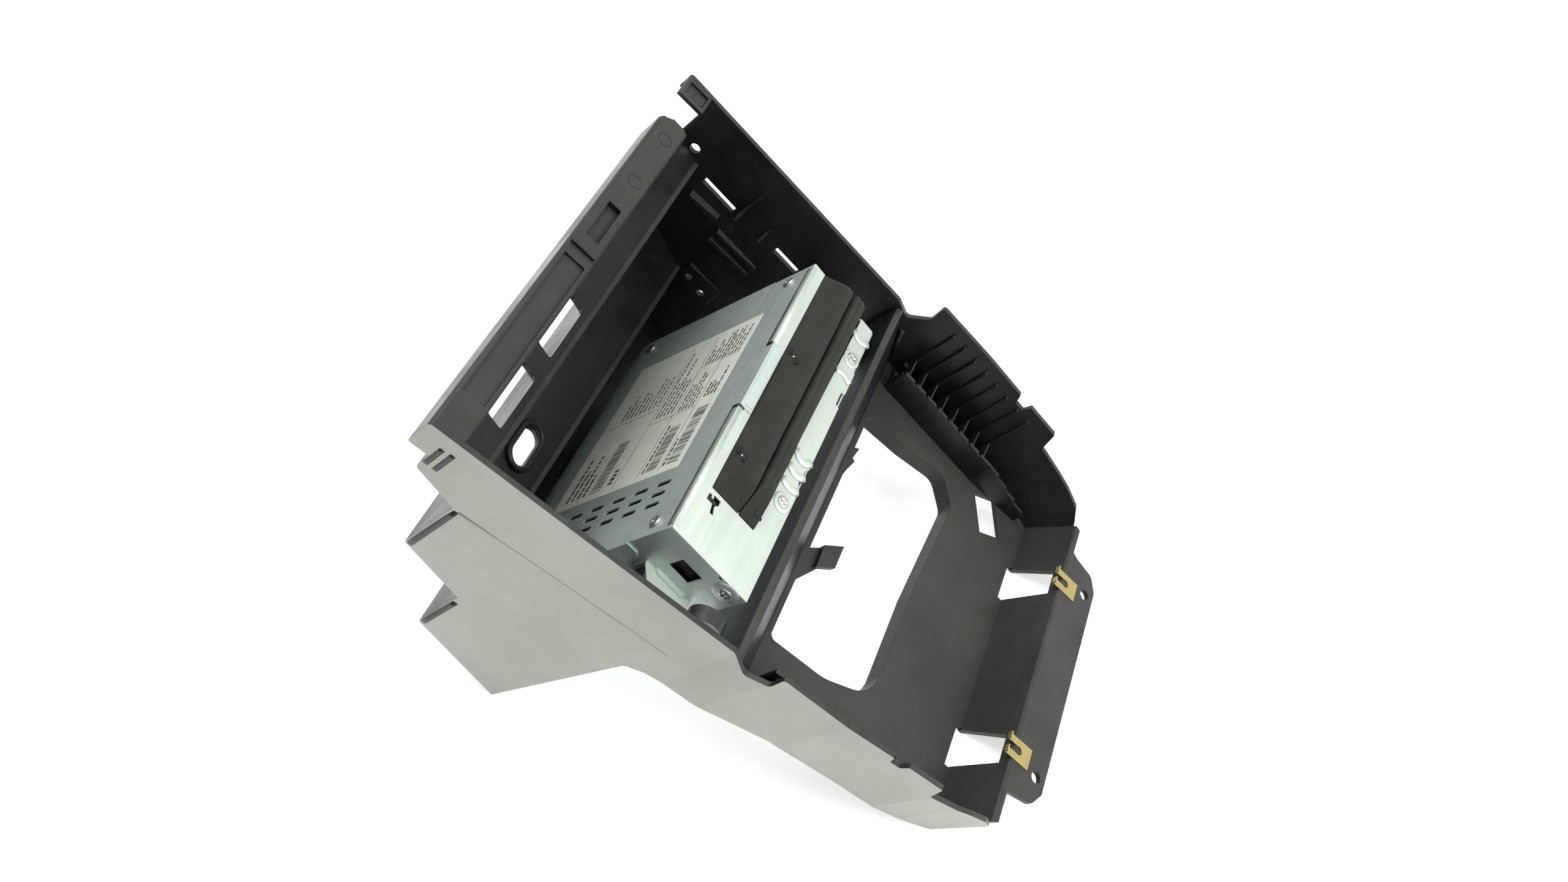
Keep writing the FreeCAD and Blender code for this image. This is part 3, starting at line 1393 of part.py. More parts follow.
def make_deck():
    """Mechanism deck: plate, hangers for the rods, uprights for the clamp and flanges for the roller."""
    deck = Piece("mechanism_deck")
    low = ROD_Z - S.rod_radius - 1.2
    near = LEAD_Y - S.hanger_margin
    far = S.disc_centre_y + S.rod_spread + S.hanger_margin
    motor_near = SLED_MOTOR_Y - S.sled_motor_radius
    deck.add("XY", DECK_LOW, S.deck_thick, oblong(-DECK_HALF, S.deck_front, DECK_HALF, DECK_REAR))
    deck.add("YZ", S.rod_start, S.hanger_thick, oblong(near, low, far, DECK_TOP))
    deck.add("YZ", HANGER_X, S.hanger_thick, oblong(motor_near, low - 1.4, far, DECK_TOP))
    for start in (-DECK_HALF, DECK_HALF - S.gauge):
        deck.add("YZ", start, S.gauge, oblong(S.deck_front, DECK_TOP - 0.5, 38, PIVOT_Z + 3))
    deck.add("YZ", -DECK_HALF, S.gauge, oblong(
        loading_motor_y() - S.loading_motor_radius, loading_motor_z() - S.loading_motor_radius,
        loading_motor_y() + S.loading_motor_radius, DECK_TOP))
    upright = oblong(S.clamp_pivot_y - 4, DECK_TOP - 0.5, S.clamp_pivot_y + 4, CLAMP_Z + 3)
    deck.add("YZ", S.clamp_upright_x, S.gauge, upright)
    deck.add("YZ", -S.clamp_upright_x - S.gauge, S.gauge, upright)
    pivot = Ring(S.roller_pivot_y, PIVOT_Z, S.roller_pin)
    deck.add("YZ", ARM_X - 0.3, S.arm_plate + S.arm_gap + 0.4, pivot)
    deck.add("YZ", -DECK_HALF - 0.4 - S.gear_thick, DECK_HALF + 0.4 + S.gear_thick - ARM_X + 0.3, pivot)
    half_window = S.deck_window_width / 2
    deck.cut("XY", DECK_LOW - 1, S.deck_thick + 2, oblong(
        S.deck_window_start, S.disc_centre_y - half_window,
        S.deck_window_start + S.deck_window_length, S.disc_centre_y + half_window),
        Ring(0, S.disc_centre_y, S.shaft_radius + 0.5))
    relief_far = S.roller_pivot_y + 6
    for left in (ARM_X - 0.6, -ARM_X - S.arm_plate - S.arm_gap):
        deck.cut("XY", DECK_LOW - 1, S.deck_thick + 1.4, oblong(
            left, S.deck_front - 1, left + S.arm_plate + S.arm_gap + 0.6, relief_far))
    deck.cut("YZ", S.rod_start - 1, S.hanger_thick + 2, Ring(LEAD_Y, ROD_Z, lead_bore()))
    deck.cut("YZ", HANGER_X - 1, S.hanger_thick + 2, Ring(LEAD_Y, ROD_Z, lead_bore()),
             Ring(SLED_MOTOR_Y, ROD_Z, S.pinion_shaft + 0.3))
    deck.cut("YZ", -DECK_HALF - 1, S.gauge + 2,
             Ring(loading_motor_y(), loading_motor_z(), S.pinion_shaft + 0.3))
    clamp_holes = Ring(S.clamp_pivot_y, CLAMP_Z, S.clamp_pin + S.running_fit)
    deck.cut("YZ", S.clamp_upright_x - 1, S.gauge + 2, clamp_holes)
    deck.cut("YZ", -S.clamp_upright_x - S.gauge - 1, S.gauge + 2, clamp_holes)
    node("mechanism_deck", deck, in_unit=True)


def rod_places():
    """Depths of the two guide rods."""
    return [S.disc_centre_y - S.rod_spread, S.disc_centre_y + S.rod_spread]


def lead_bore():
    """Radius of the bores that the lead screw turns in."""
    return S.lead_radius + S.running_fit


def loading_motor_y():
    """Depth of the loading motor's axis: its pinion meets the idler gear below and behind."""
    centres = IDLER_RADIUS + S.pinion_radius + S.gear_backlash
    reach = math.sqrt(float(centres) ** 2 - float(S.loading_motor_drop) ** 2)
    text = f"sqrt({centres.text} ^ 2 - Sizes.loading_motor_drop ^ 2)"
    return S.roller_pivot_y + Term(reach, text)


def loading_motor_z():
    """Height of the loading motor's axis."""
    return PIVOT_Z - S.loading_motor_drop


def make_grommets():
    """Four rubber grommets between the chassis posts and the deck."""
    ring = [rod(f"grommet_{index}", (x, y, DECK_LOW - S.grommet_height), S.grommet_radius, S.grommet_height)
            for index, (x, y) in enumerate(deck_post_places(), start=1)]
    node("deck_grommets", group("grommet_set", *ring), in_unit=True)


def make_spindle():
    """Spindle motor under the deck, with the bore that its shaft turns in."""
    motor_low = DECK_LOW - S.motor_height
    bore = S.shaft_radius + S.running_fit
    motor = Piece("spindle_motor").turn([
        (bore, DECK_LOW - S.shaft_depth), (bore, DECK_LOW), (S.motor_radius, DECK_LOW),
        (S.motor_radius, motor_low), (0, motor_low),
        (0, DECK_LOW - S.shaft_depth)])
    seat(motor.body, 0, S.disc_centre_y, 0)
    node("spindle_motor", motor, in_unit=True)

    table_low = DISC_LOW - S.table_thick
    shaft_low = DECK_LOW - S.shaft_depth + 0.3
    cone_top = DISC_LOW + S.cone_height
    table = Piece("disc_turntable").turn([
        (0, shaft_low), (S.shaft_radius, shaft_low), (S.shaft_radius, table_low),
        (S.table_radius, table_low), (S.table_radius, DISC_LOW), (S.cone_radius, DISC_LOW),
        (S.cone_radius - 0.6, cone_top), (0, cone_top)])
    seat(table.body, 0, S.disc_centre_y, 0)
    node("disc_turntable", table, in_unit=True)


def make_clamp():
    """Clamp arm on its cross tube, and the puck that hangs in its hole just above the disc's hub."""
    front = S.clamp_arm_front
    tube_length = (S.clamp_upright_x - 0.3) * 2
    arm = Piece("clamp_arm")
    arm.add("XY", CLAMP_LOW, S.clamp_arm_thick, [
        (-S.clamp_arm_half + 5, front), (S.clamp_arm_half - 5, front), (S.clamp_arm_half, front + 5),
        (S.clamp_arm_half, S.clamp_pivot_y - 18), (S.clamp_upright_x - 4, S.clamp_pivot_y - 6),
        (S.clamp_upright_x - 4, S.clamp_pivot_y), (-S.clamp_upright_x + 4, S.clamp_pivot_y),
        (-S.clamp_upright_x + 4, S.clamp_pivot_y - 6), (-S.clamp_arm_half, S.clamp_pivot_y - 18),
        (-S.clamp_arm_half, front + 5)])
    arm.add("YZ", -tube_length / 2, tube_length, Ring(S.clamp_pivot_y, CLAMP_Z, S.clamp_tube))
    pin_length = (S.clamp_upright_x + S.gauge) * 2
    arm.add("YZ", -pin_length / 2, pin_length, Ring(S.clamp_pivot_y, CLAMP_Z, S.clamp_pin))
    arm.cut("XY", CLAMP_LOW - 1, S.clamp_arm_thick + 2, Ring(0, S.disc_centre_y, S.puck_stem + S.puck_gap))
    node("clamp_arm", arm, in_unit=True)

    cap_low = CLAMP_LOW + S.clamp_arm_thick + 0.1
    puck = Piece("clamp_puck").turn([
        (0, PUCK_LOW), (S.puck_radius, PUCK_LOW),
        (S.puck_radius, PUCK_LOW + S.puck_thick), (S.puck_stem, PUCK_LOW + S.puck_thick),
        (S.puck_stem, cap_low), (S.puck_cap, cap_low), (S.puck_cap, cap_low + S.puck_cap_thick),
        (0, cap_low + S.puck_cap_thick)])
    seat(puck.body, 0, S.disc_centre_y, 0)
    node("clamp_puck", puck, in_unit=True)


def make_sled():
    """Guide rods, laser sled with its lens, lead screw, its gear, motor and pinion."""
    rod_near = S.rod_start + S.hanger_thick
    rods = [rod(f"guide_rod_{index}", (rod_near, y, ROD_Z), S.rod_radius, HANGER_X - rod_near, "x")
            for index, y in enumerate(rod_places(), start=1)]
    node("guide_rods", group("guide_rod_pair", *rods), in_unit=True)

    left = S.sled_start - S.sled_width / 2
    low = ROD_Z - S.sled_height / 2
    front, rear = rod_places()
    sled = Piece("laser_sled")
    sled.add("XY", low, S.sled_height, oblong(
        left, front - S.sled_margin, left + S.sled_width, rear + S.sled_margin))
    nut_front = LEAD_Y - lead_bore() - S.lead_wall
    sled.add("XY", low, S.sled_height, oblong(
        S.sled_start - 4, nut_front, S.sled_start + 4, front - S.sled_margin + 1))
    bore = S.rod_radius + S.running_fit
    sled.cut("YZ", left - 1, S.sled_width + 2, Ring(front, ROD_Z, bore), Ring(rear, ROD_Z, bore))
    sled.cut("YZ", left - 1, S.sled_width + 2, Ring(LEAD_Y, ROD_Z, lead_bore()))
    node("laser_sled", sled, in_unit=True)

    barrel = S.lens_radius
    top = low + S.sled_height
    lens = Piece("pickup_lens").turn([
        (0, top), (barrel, top), (barrel, top + S.lens_height - 0.6),
        (barrel - 1.2, top + S.lens_height), (0, top + S.lens_height)])
    seat(lens.body, S.sled_start, S.disc_centre_y, 0)
    node("pickup_lens", lens, in_unit=True)

    shaft = rod("lead_shaft", (S.rod_start, LEAD_Y, ROD_Z), S.lead_radius, GEAR_X - S.rod_start + 0.5, "x")
    gear = rod("lead_gear", (GEAR_X, LEAD_Y, ROD_Z), S.gear_radius, S.gear_thick, "x")
    node("lead_screw", fuse("lead_screw_joined", shaft, gear), in_unit=True)

    motor_start = HANGER_X - S.sled_motor_length
    can = rod("sled_motor_can", (motor_start, SLED_MOTOR_Y, ROD_Z), S.sled_motor_radius,
              S.sled_motor_length, "x")
    bore = rod("sled_motor_bore", (HANGER_X - 3, SLED_MOTOR_Y, ROD_Z), S.pinion_shaft + S.running_fit, 4, "x")
    node("sled_motor", cut("sled_motor_bored", can, bore), in_unit=True)
    shaft = rod("sled_pinion_shaft", (HANGER_X - 2.7, SLED_MOTOR_Y, ROD_Z), S.pinion_shaft,
                GEAR_X - HANGER_X + 3.2, "x")
    wheel = rod("sled_pinion_wheel", (GEAR_X, SLED_MOTOR_Y, ROD_Z), S.pinion_radius, S.gear_thick, "x")
    node("sled_pinion", fuse("sled_pinion_joined", shaft, wheel), in_unit=True)


def make_loader():
    """Loading roller on its arm, its gears, motor and the guide plate above the disc's way."""
    half = S.roller_length / 2
    wheel = Piece("loading_roller")
    wheel.add("YZ", -half, S.roller_length, Ring(S.roller_y, PIVOT_Z, S.roller_radius))
    right_end = ARM_X + S.arm_plate
    left_end = GEAR_X + S.gear_thick
    wheel.add("YZ", -left_end, left_end + right_end, Ring(S.roller_y, PIVOT_Z, S.roller_pin))
    wheel.add("YZ", -left_end, S.gear_thick, Ring(S.roller_y, PIVOT_Z, S.roller_gear_radius))
    node("loading_roller", wheel, in_unit=True)

    arm = Piece("roller_arm")
    near = S.roller_y - S.arm_half_height - 0.8
    far = S.roller_pivot_y + S.arm_half_height + 0.4
    side = oblong(near, PIVOT_Z - S.arm_half_height, far, PIVOT_Z + S.arm_half_height + 0.4)
    arm.add("XY", PIVOT_Z - S.arm_half_height, 1.0, oblong(
        -ARM_X - 0.5, S.arm_bar_y, ARM_X + 0.5, S.arm_bar_y + S.arm_bar_width))
    arm.add("YZ", ARM_X, S.arm_plate, side)
    arm.add("YZ", -ARM_X - S.arm_plate, S.arm_plate, side)
    holes = [Ring(y, PIVOT_Z, S.roller_pin + S.running_fit) for y in (S.roller_y, S.roller_pivot_y)]
    arm.cut("YZ", ARM_X - 1, S.arm_plate + 2, *holes)
    arm.cut("YZ", -ARM_X - S.arm_plate - 1, S.arm_plate + 2, *holes)
    node("roller_arm", arm, in_unit=True)

    idler = Piece("idler_gear").add(
        "YZ", -GEAR_X - S.gear_thick, S.gear_thick,
        Ring(S.roller_pivot_y, PIVOT_Z, IDLER_RADIUS),
        Ring(S.roller_pivot_y, PIVOT_Z, S.roller_pin + S.running_fit))
    node("idler_gear", idler, in_unit=True)

    inner = -DECK_HALF + S.gauge
    place = (inner, loading_motor_y(), loading_motor_z())
    can = rod("loading_motor_can", place, S.loading_motor_radius, S.loading_motor_length, "x")
    bore = rod("loading_motor_bore", (inner - 1, place[1], place[2]), S.pinion_shaft + S.running_fit, 4, "x")
    node("loading_motor", cut("loading_motor_bored", can, bore), in_unit=True)
    wheel = rod("loading_pinion_wheel", (-GEAR_X - S.gear_thick, place[1], place[2]), S.pinion_radius,
                S.gear_thick, "x")
    shaft = rod("loading_pinion_shaft", (-GEAR_X - 1, place[1], place[2]), S.pinion_shaft,
                GEAR_X - DECK_HALF + S.gauge + 3.6, "x")
    node("loading_pinion", fuse("loading_pinion_joined", shaft, wheel), in_unit=True)

    guide_low = DISC_TOP + S.guide_rise
    leg_front = S.deck_front
    guide = Piece("disc_guide")
    guide.add("XY", guide_low, S.guide_thick, oblong(
        -S.guide_half, S.guide_front, S.guide_half, leg_front + 7))
    for left in (-S.guide_half, S.guide_half - S.gauge):
        guide.add("YZ", left, S.gauge, oblong(leg_front, DECK_TOP, leg_front + 7, guide_low + 0.1))
    node("disc_guide", guide, in_unit=True)


def rest():
    """How far the part leans back, and where its own frame stands, for the pose on a table."""
    rise = float(REAR_LOW_Z) - float(END_LOW_Z)
    run = float(REAR_LOW_Y) - float(PLATE_BACK)
    lean = Rotation(Vector(1, 0, 0), -math.degrees(math.atan2(rise, run)))
    pitch = Rotation(Vector(1, 0, 0), float(S.unit_pitch))
    return Placement(Vector(), lean), Placement(Vector(), lean.multiply(pitch))


def build():
    """Makes every sub-part."""
    outside = console_body("console_outside", 0)
    inside = console_body("console_inside", S.wall)
    make_side_walls(outside, inside)
    make_rear_steps(inside)
    make_top_beam(inside)
    make_bay_flange(inside)
    make_floor_plate(inside)
    make_end(inside)
    make_spring_nuts()
    make_chassis()
    make_cover()
    plate = make_front_plate()
    make_lips(plate)
    make_label()
    make_lug("left_lug_bracket", -1)
    make_lug("right_lug_bracket", 1)
    make_case_screws()
    make_board()
    make_connector()
    make_heat_sink()
    make_deck()
    make_grommets()
    make_spindle()
    make_clamp()
    make_sled()
    make_loader()


def place_all():
    """Lays the part down and moves its frame to the middle of its underside."""
    in_console, in_unit = rest()
    boxes = []
    for thing, of_unit in NODES:
        laid = thing.Shape.copy()
        laid.Placement = in_unit if of_unit else in_console
        boxes.append(laid.optimalBoundingBox(False, False))
    middle_x = (min(box.XMin for box in boxes) + max(box.XMax for box in boxes)) / 2
    middle_y = (min(box.YMin for box in boxes) + max(box.YMax for box in boxes)) / 2
    shift = Placement(Vector(-middle_x, -middle_y, -min(box.ZMin for box in boxes)), Rotation())
    for thing, of_unit in NODES:
        thing.Placement = shift.multiply(in_unit if of_unit else in_console)


def check():
    """Stops if any object failed or any sub-part has no valid shape."""
    for thing in doc.Objects:
        if "Invalid" in thing.State or "Error" in thing.State:
            raise RuntimeError(f"{thing.Name} failed: {thing.State} {thing.getStatusString()}")
    for thing, _ in NODES:
        if thing.Shape.isNull() or not thing.Shape.isValid():
            raise RuntimeError(f"{thing.Label} has no valid shape")
        if not thing.Shape.Solids:
            raise RuntimeError(f"{thing.Label} has no solid")


def write():
    """Writes each sub-part to its own file."""
    os.makedirs("parts", exist_ok=True)
    for thing, _ in NODES:
        thing.Shape.exportStep(os.path.join("parts", f"{thing.Label}.step"))


build()
doc.recompute()
place_all()
check()
write()
for thing, _ in NODES:
    box = thing.Shape.BoundBox
    print(f"{thing.Label:22} solids {len(thing.Shape.Solids):2} volume {thing.Shape.Volume:10.1f} "
          f"{box.XLength:6.1f} x {box.YLength:6.1f} x {box.ZLength:6.1f}")
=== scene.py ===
"""Looks of the slot-loading disc unit in its centre-console moulding.

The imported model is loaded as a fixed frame. Each sub-assembly below dresses its own nodes and adds the
small pieces that a solid model leaves out. Places are given in two frames that share one origin, the
middle of the disc unit's top front edge: the unit's own frame and the console's frame. A place is width,
depth and level. All lengths are in metres unless a name says otherwise.
"""
from __future__ import annotations

import json
import logging
import math
import random
from dataclasses import dataclass, field
from enum import Enum

import bmesh
import bpy
from mathutils import Matrix, Vector, noise

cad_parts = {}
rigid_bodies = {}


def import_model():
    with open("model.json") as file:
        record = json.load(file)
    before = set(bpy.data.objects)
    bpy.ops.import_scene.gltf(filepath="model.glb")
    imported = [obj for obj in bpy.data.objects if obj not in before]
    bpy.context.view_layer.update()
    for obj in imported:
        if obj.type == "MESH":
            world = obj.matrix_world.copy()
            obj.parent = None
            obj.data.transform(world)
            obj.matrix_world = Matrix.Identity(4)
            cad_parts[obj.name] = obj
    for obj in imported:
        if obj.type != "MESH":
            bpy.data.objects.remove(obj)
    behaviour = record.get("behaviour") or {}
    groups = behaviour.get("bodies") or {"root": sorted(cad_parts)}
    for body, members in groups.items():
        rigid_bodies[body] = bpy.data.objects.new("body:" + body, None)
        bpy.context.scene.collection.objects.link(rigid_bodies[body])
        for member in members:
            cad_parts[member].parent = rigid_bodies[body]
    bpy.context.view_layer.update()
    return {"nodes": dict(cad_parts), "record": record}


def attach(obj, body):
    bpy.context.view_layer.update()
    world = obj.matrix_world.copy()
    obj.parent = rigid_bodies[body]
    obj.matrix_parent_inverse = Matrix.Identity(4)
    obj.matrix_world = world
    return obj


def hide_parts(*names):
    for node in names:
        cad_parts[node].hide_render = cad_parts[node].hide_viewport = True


LOG = logging.getLogger("console_player")
MM = 0.001
RIGHTWARD = Vector((1, 0, 0))
LEFTWARD = Vector((-1, 0, 0))
FRONTWARD = Vector((0, -1, 0))
UPWARD = Vector((0, 0, 1))

Pair = tuple[float, float]
Triple = tuple[float, float, float]
Four = tuple[float, float, float, float]
Outline = tuple[Pair, ...]


class Side(Enum):
    """Side of the console, as the driver sees it."""

    LEFT = -1
    RIGHT = 1


@dataclass(frozen=True)
class Lay:
    """A design frame laid down in the row's frame.

    Attributes:
        origin: Where the design frame's origin lies.
        depth: Direction of its Y axis, into the dashboard.
        up: Direction of its Z axis.
    """

    origin: Vector
    depth: Vector
    up: Vector

    def matrix(self) -> Matrix:
        """Matrix that carries a point of the design frame into the row's frame."""
        turn = Matrix((RIGHTWARD, self.depth, self.up)).transposed().to_4x4()
        return Matrix.Translation(self.origin) @ turn

    def pitched(self, degrees: float) -> "Lay":
        """The same origin with the frame turned about the X axis.

        Args:
            degrees: Angle from the new frame's depth axis up to this frame's.

        Returns:
            The turned frame.
        """
        angle = math.radians(degrees)
        depth = self.depth * math.cos(angle) - self.up * math.sin(angle)
        up = self.depth * math.sin(angle) + self.up * math.cos(angle)
        return Lay(self.origin, depth, up)


@dataclass(frozen=True)
class Design:
    """The few sizes of the design that several sub-assemblies refer to.

    Attributes:
        unit_pitch: Angle of the disc unit in the console, in degrees.
        label_front_mm: Depth of the label's front edge behind the unit's front.
        label_step: Least height from the label's front edge down to its rear edge.
        half_case_mm: Half of the case's width.
    """

    unit_pitch: float = 7.3
    label_front_mm: float = 22.6
    label_step: float = 0.002
    half_case_mm: float = 89.0

    def unit_lay(self) -> Lay:
        """Finds the disc unit's frame from the label's solid.

        Returns:
            The unit's frame in the row's frame.
        """
        corners = [vertex.co.copy() for vertex in bpy.data.objects["unit_label"].data.vertices]
        top = max(corner.z for corner in corners)
        front_low = min((c for c in corners if c.z > top - self.label_step), key=lambda corner: corner.z)
        rear_low = min(corners, key=lambda corner: corner.z)
        depth = Vector((0, rear_low.y - front_low.y, rear_low.z - front_low.z)).normalized()
        front = Vector((0, front_low.y, front_low.z))
        return Lay(front - depth * self.label_front_mm * MM, depth, RIGHTWARD.cross(depth))


@dataclass(frozen=True)
class Pattern:
    """A noise pattern.

    Attributes:
        waves: Waves per metre.
        octaves: Number of ever finer layers.
        harshness: Strength of the finer layers.
    """

    waves: float
    octaves: float = 4.0
    harshness: float = 0.5


class Shade:
    """Builds one node-based material step by step."""

    def __init__(self, name: str) -> None:
        """Starts a material with a bare shader.

        Args:
            name: Name of the material.
        """
        self.material = bpy.data.materials.new(name)
        self.material.use_nodes = True
        self.tree = self.material.node_tree
        self.shader = self.tree.nodes["Principled BSDF"]

    def node(self, kind: str, **settings: object) -> bpy.types.Node:
        """Adds a node and sets its properties or its inputs by name.

        Args:
            kind: Blender's name of the node.
            settings: Property names, or input names with underscores for spaces.

        Returns:
            The new node.
        """
        node = self.tree.nodes.new(kind)
        for name, value in settings.items():
            if hasattr(node, name):
                setattr(node, name, value)
            else:
                node.inputs[name.replace("_", " ")].default_value = value
        return node

    def link(self, output: bpy.types.NodeSocket, target: bpy.types.NodeSocket) -> None:
        """Joins two sockets."""
        self.tree.links.new(output, target)

    def set(self, **values: object) -> None:
        """Sets numbers and colours on the shader's own sockets."""
        for name, value in values.items():
            self.shader.inputs[name.replace("_", " ")].default_value = value

    def feed(self, **patterns: bpy.types.NodeSocket) -> None:
        """Joins patterns to the shader's own sockets."""
        for name, output in patterns.items():
            self.link(output, self.shader.inputs[name.replace("_", " ")])

    def place(self, scale: Triple = (1, 1, 1), turn: Triple = (0, 0, 0)) -> bpy.types.NodeSocket:
        """Object coordinates, stretched and turned.

        Args:
            scale: Stretch along each axis.
            turn: Rotation about each axis, in radians.

        Returns:
            The vector socket.
        """
        source = self.node("ShaderNodeTexCoord")
        mapping = self.node("ShaderNodeMapping", Scale=scale, Rotation=turn)
        self.link(source.outputs["Object"], mapping.inputs["Vector"])
        return mapping.outputs["Vector"]

    def part(self, vector: bpy.types.NodeSocket, axis: str) -> bpy.types.NodeSocket:
        """One part of a vector.

        Args:
            vector: The vector socket.
            axis: X, Y or Z.

        Returns:
            The value socket.
        """
        parts = self.node("ShaderNodeSeparateXYZ")
        self.link(vector, parts.inputs["Vector"])
        return parts.outputs[axis]

    def facing(self, axis: str) -> bpy.types.NodeSocket:
        """How far a face looks along an axis: X, Y or Z."""
        return self.part(self.node("ShaderNodeNewGeometry").outputs["True Normal"], axis)

    def noise(self, where: bpy.types.NodeSocket, pattern: Pattern) -> bpy.types.NodeSocket:
        """A noise pattern on a place.

        Args:
            where: Coordinates.
            pattern: Its size and layers.

        Returns:
            The factor socket.
        """
        noise_node = self.node("ShaderNodeTexNoise", Scale=pattern.waves, Detail=pattern.octaves,
                               Roughness=pattern.harshness)
        self.link(where, noise_node.inputs["Vector"])
        return noise_node.outputs["Fac"]

    def ramp(self, factor: bpy.types.NodeSocket, stops: list[tuple[float, Triple]]) -> bpy.types.NodeSocket:
        """A colour ramp.

        Args:
            factor: What the ramp reads.
            stops: Positions with their colours.

        Returns:
            The colour socket.
        """
        ramp = self.node("ShaderNodeValToRGB")
        elements = ramp.color_ramp.elements
        while len(elements) < len(stops):
            elements.new(0.5)
        for element, (position, colour) in zip(elements, stops):
            element.position = position
            element.color = (*colour, 1)
        self.link(factor, ramp.inputs["Fac"])
        return ramp.outputs["Color"]

    def spread(self, factor: bpy.types.NodeSocket, low: float, high: float,
               start: float = 0.3, end: float = 0.7) -> bpy.types.NodeSocket:
        """Maps a factor onto a range of numbers.

        Args:
            factor: What is mapped.
            low: Result at start.
            high: Result at end.
            start: Factor that gives low.
            end: Factor that gives high.

        Returns:
            The result socket.
        """
        node = self.node("ShaderNodeMapRange", From_Min=start, From_Max=end, To_Min=low, To_Max=high)
        self.link(factor, node.inputs["Value"])
        return node.outputs["Result"]

    def reckon(self, operation: str, *parts: bpy.types.NodeSocket,
               clamp: bool = False) -> bpy.types.NodeSocket:
        """Result of a calculation with patterns.

        Args:
            operation: Blender's name of the calculation.
            parts: What goes into it, in order.
            clamp: Whether the result stays between 0 and 1.

        Returns:
            The value socket.
        """
        node = self.node("ShaderNodeMath", operation=operation, use_clamp=clamp)
        for part, target in zip(parts, node.inputs):
            self.link(part, target)
        return node.outputs["Value"]

    def bump(self, height: bpy.types.NodeSocket, depth: float, strength: float, rounding: float) -> None:
        """Gives the surface a fine relief and softly rounded edges.

        Args:
            height: Relief pattern.
            depth: Height of the relief in metres.
            strength: Share of the relief that shows.
            rounding: Radius of the edges' rounding.
        """
        bump = self.node("ShaderNodeBump", Strength=strength, Distance=depth)
        self.link(height, bump.inputs["Height"])
        bevel = self.node("ShaderNodeBevel", Radius=rounding, samples=4)
        self.link(bevel.outputs["Normal"], bump.inputs["Normal"])
        self.feed(Normal=bump.outputs["Normal"])


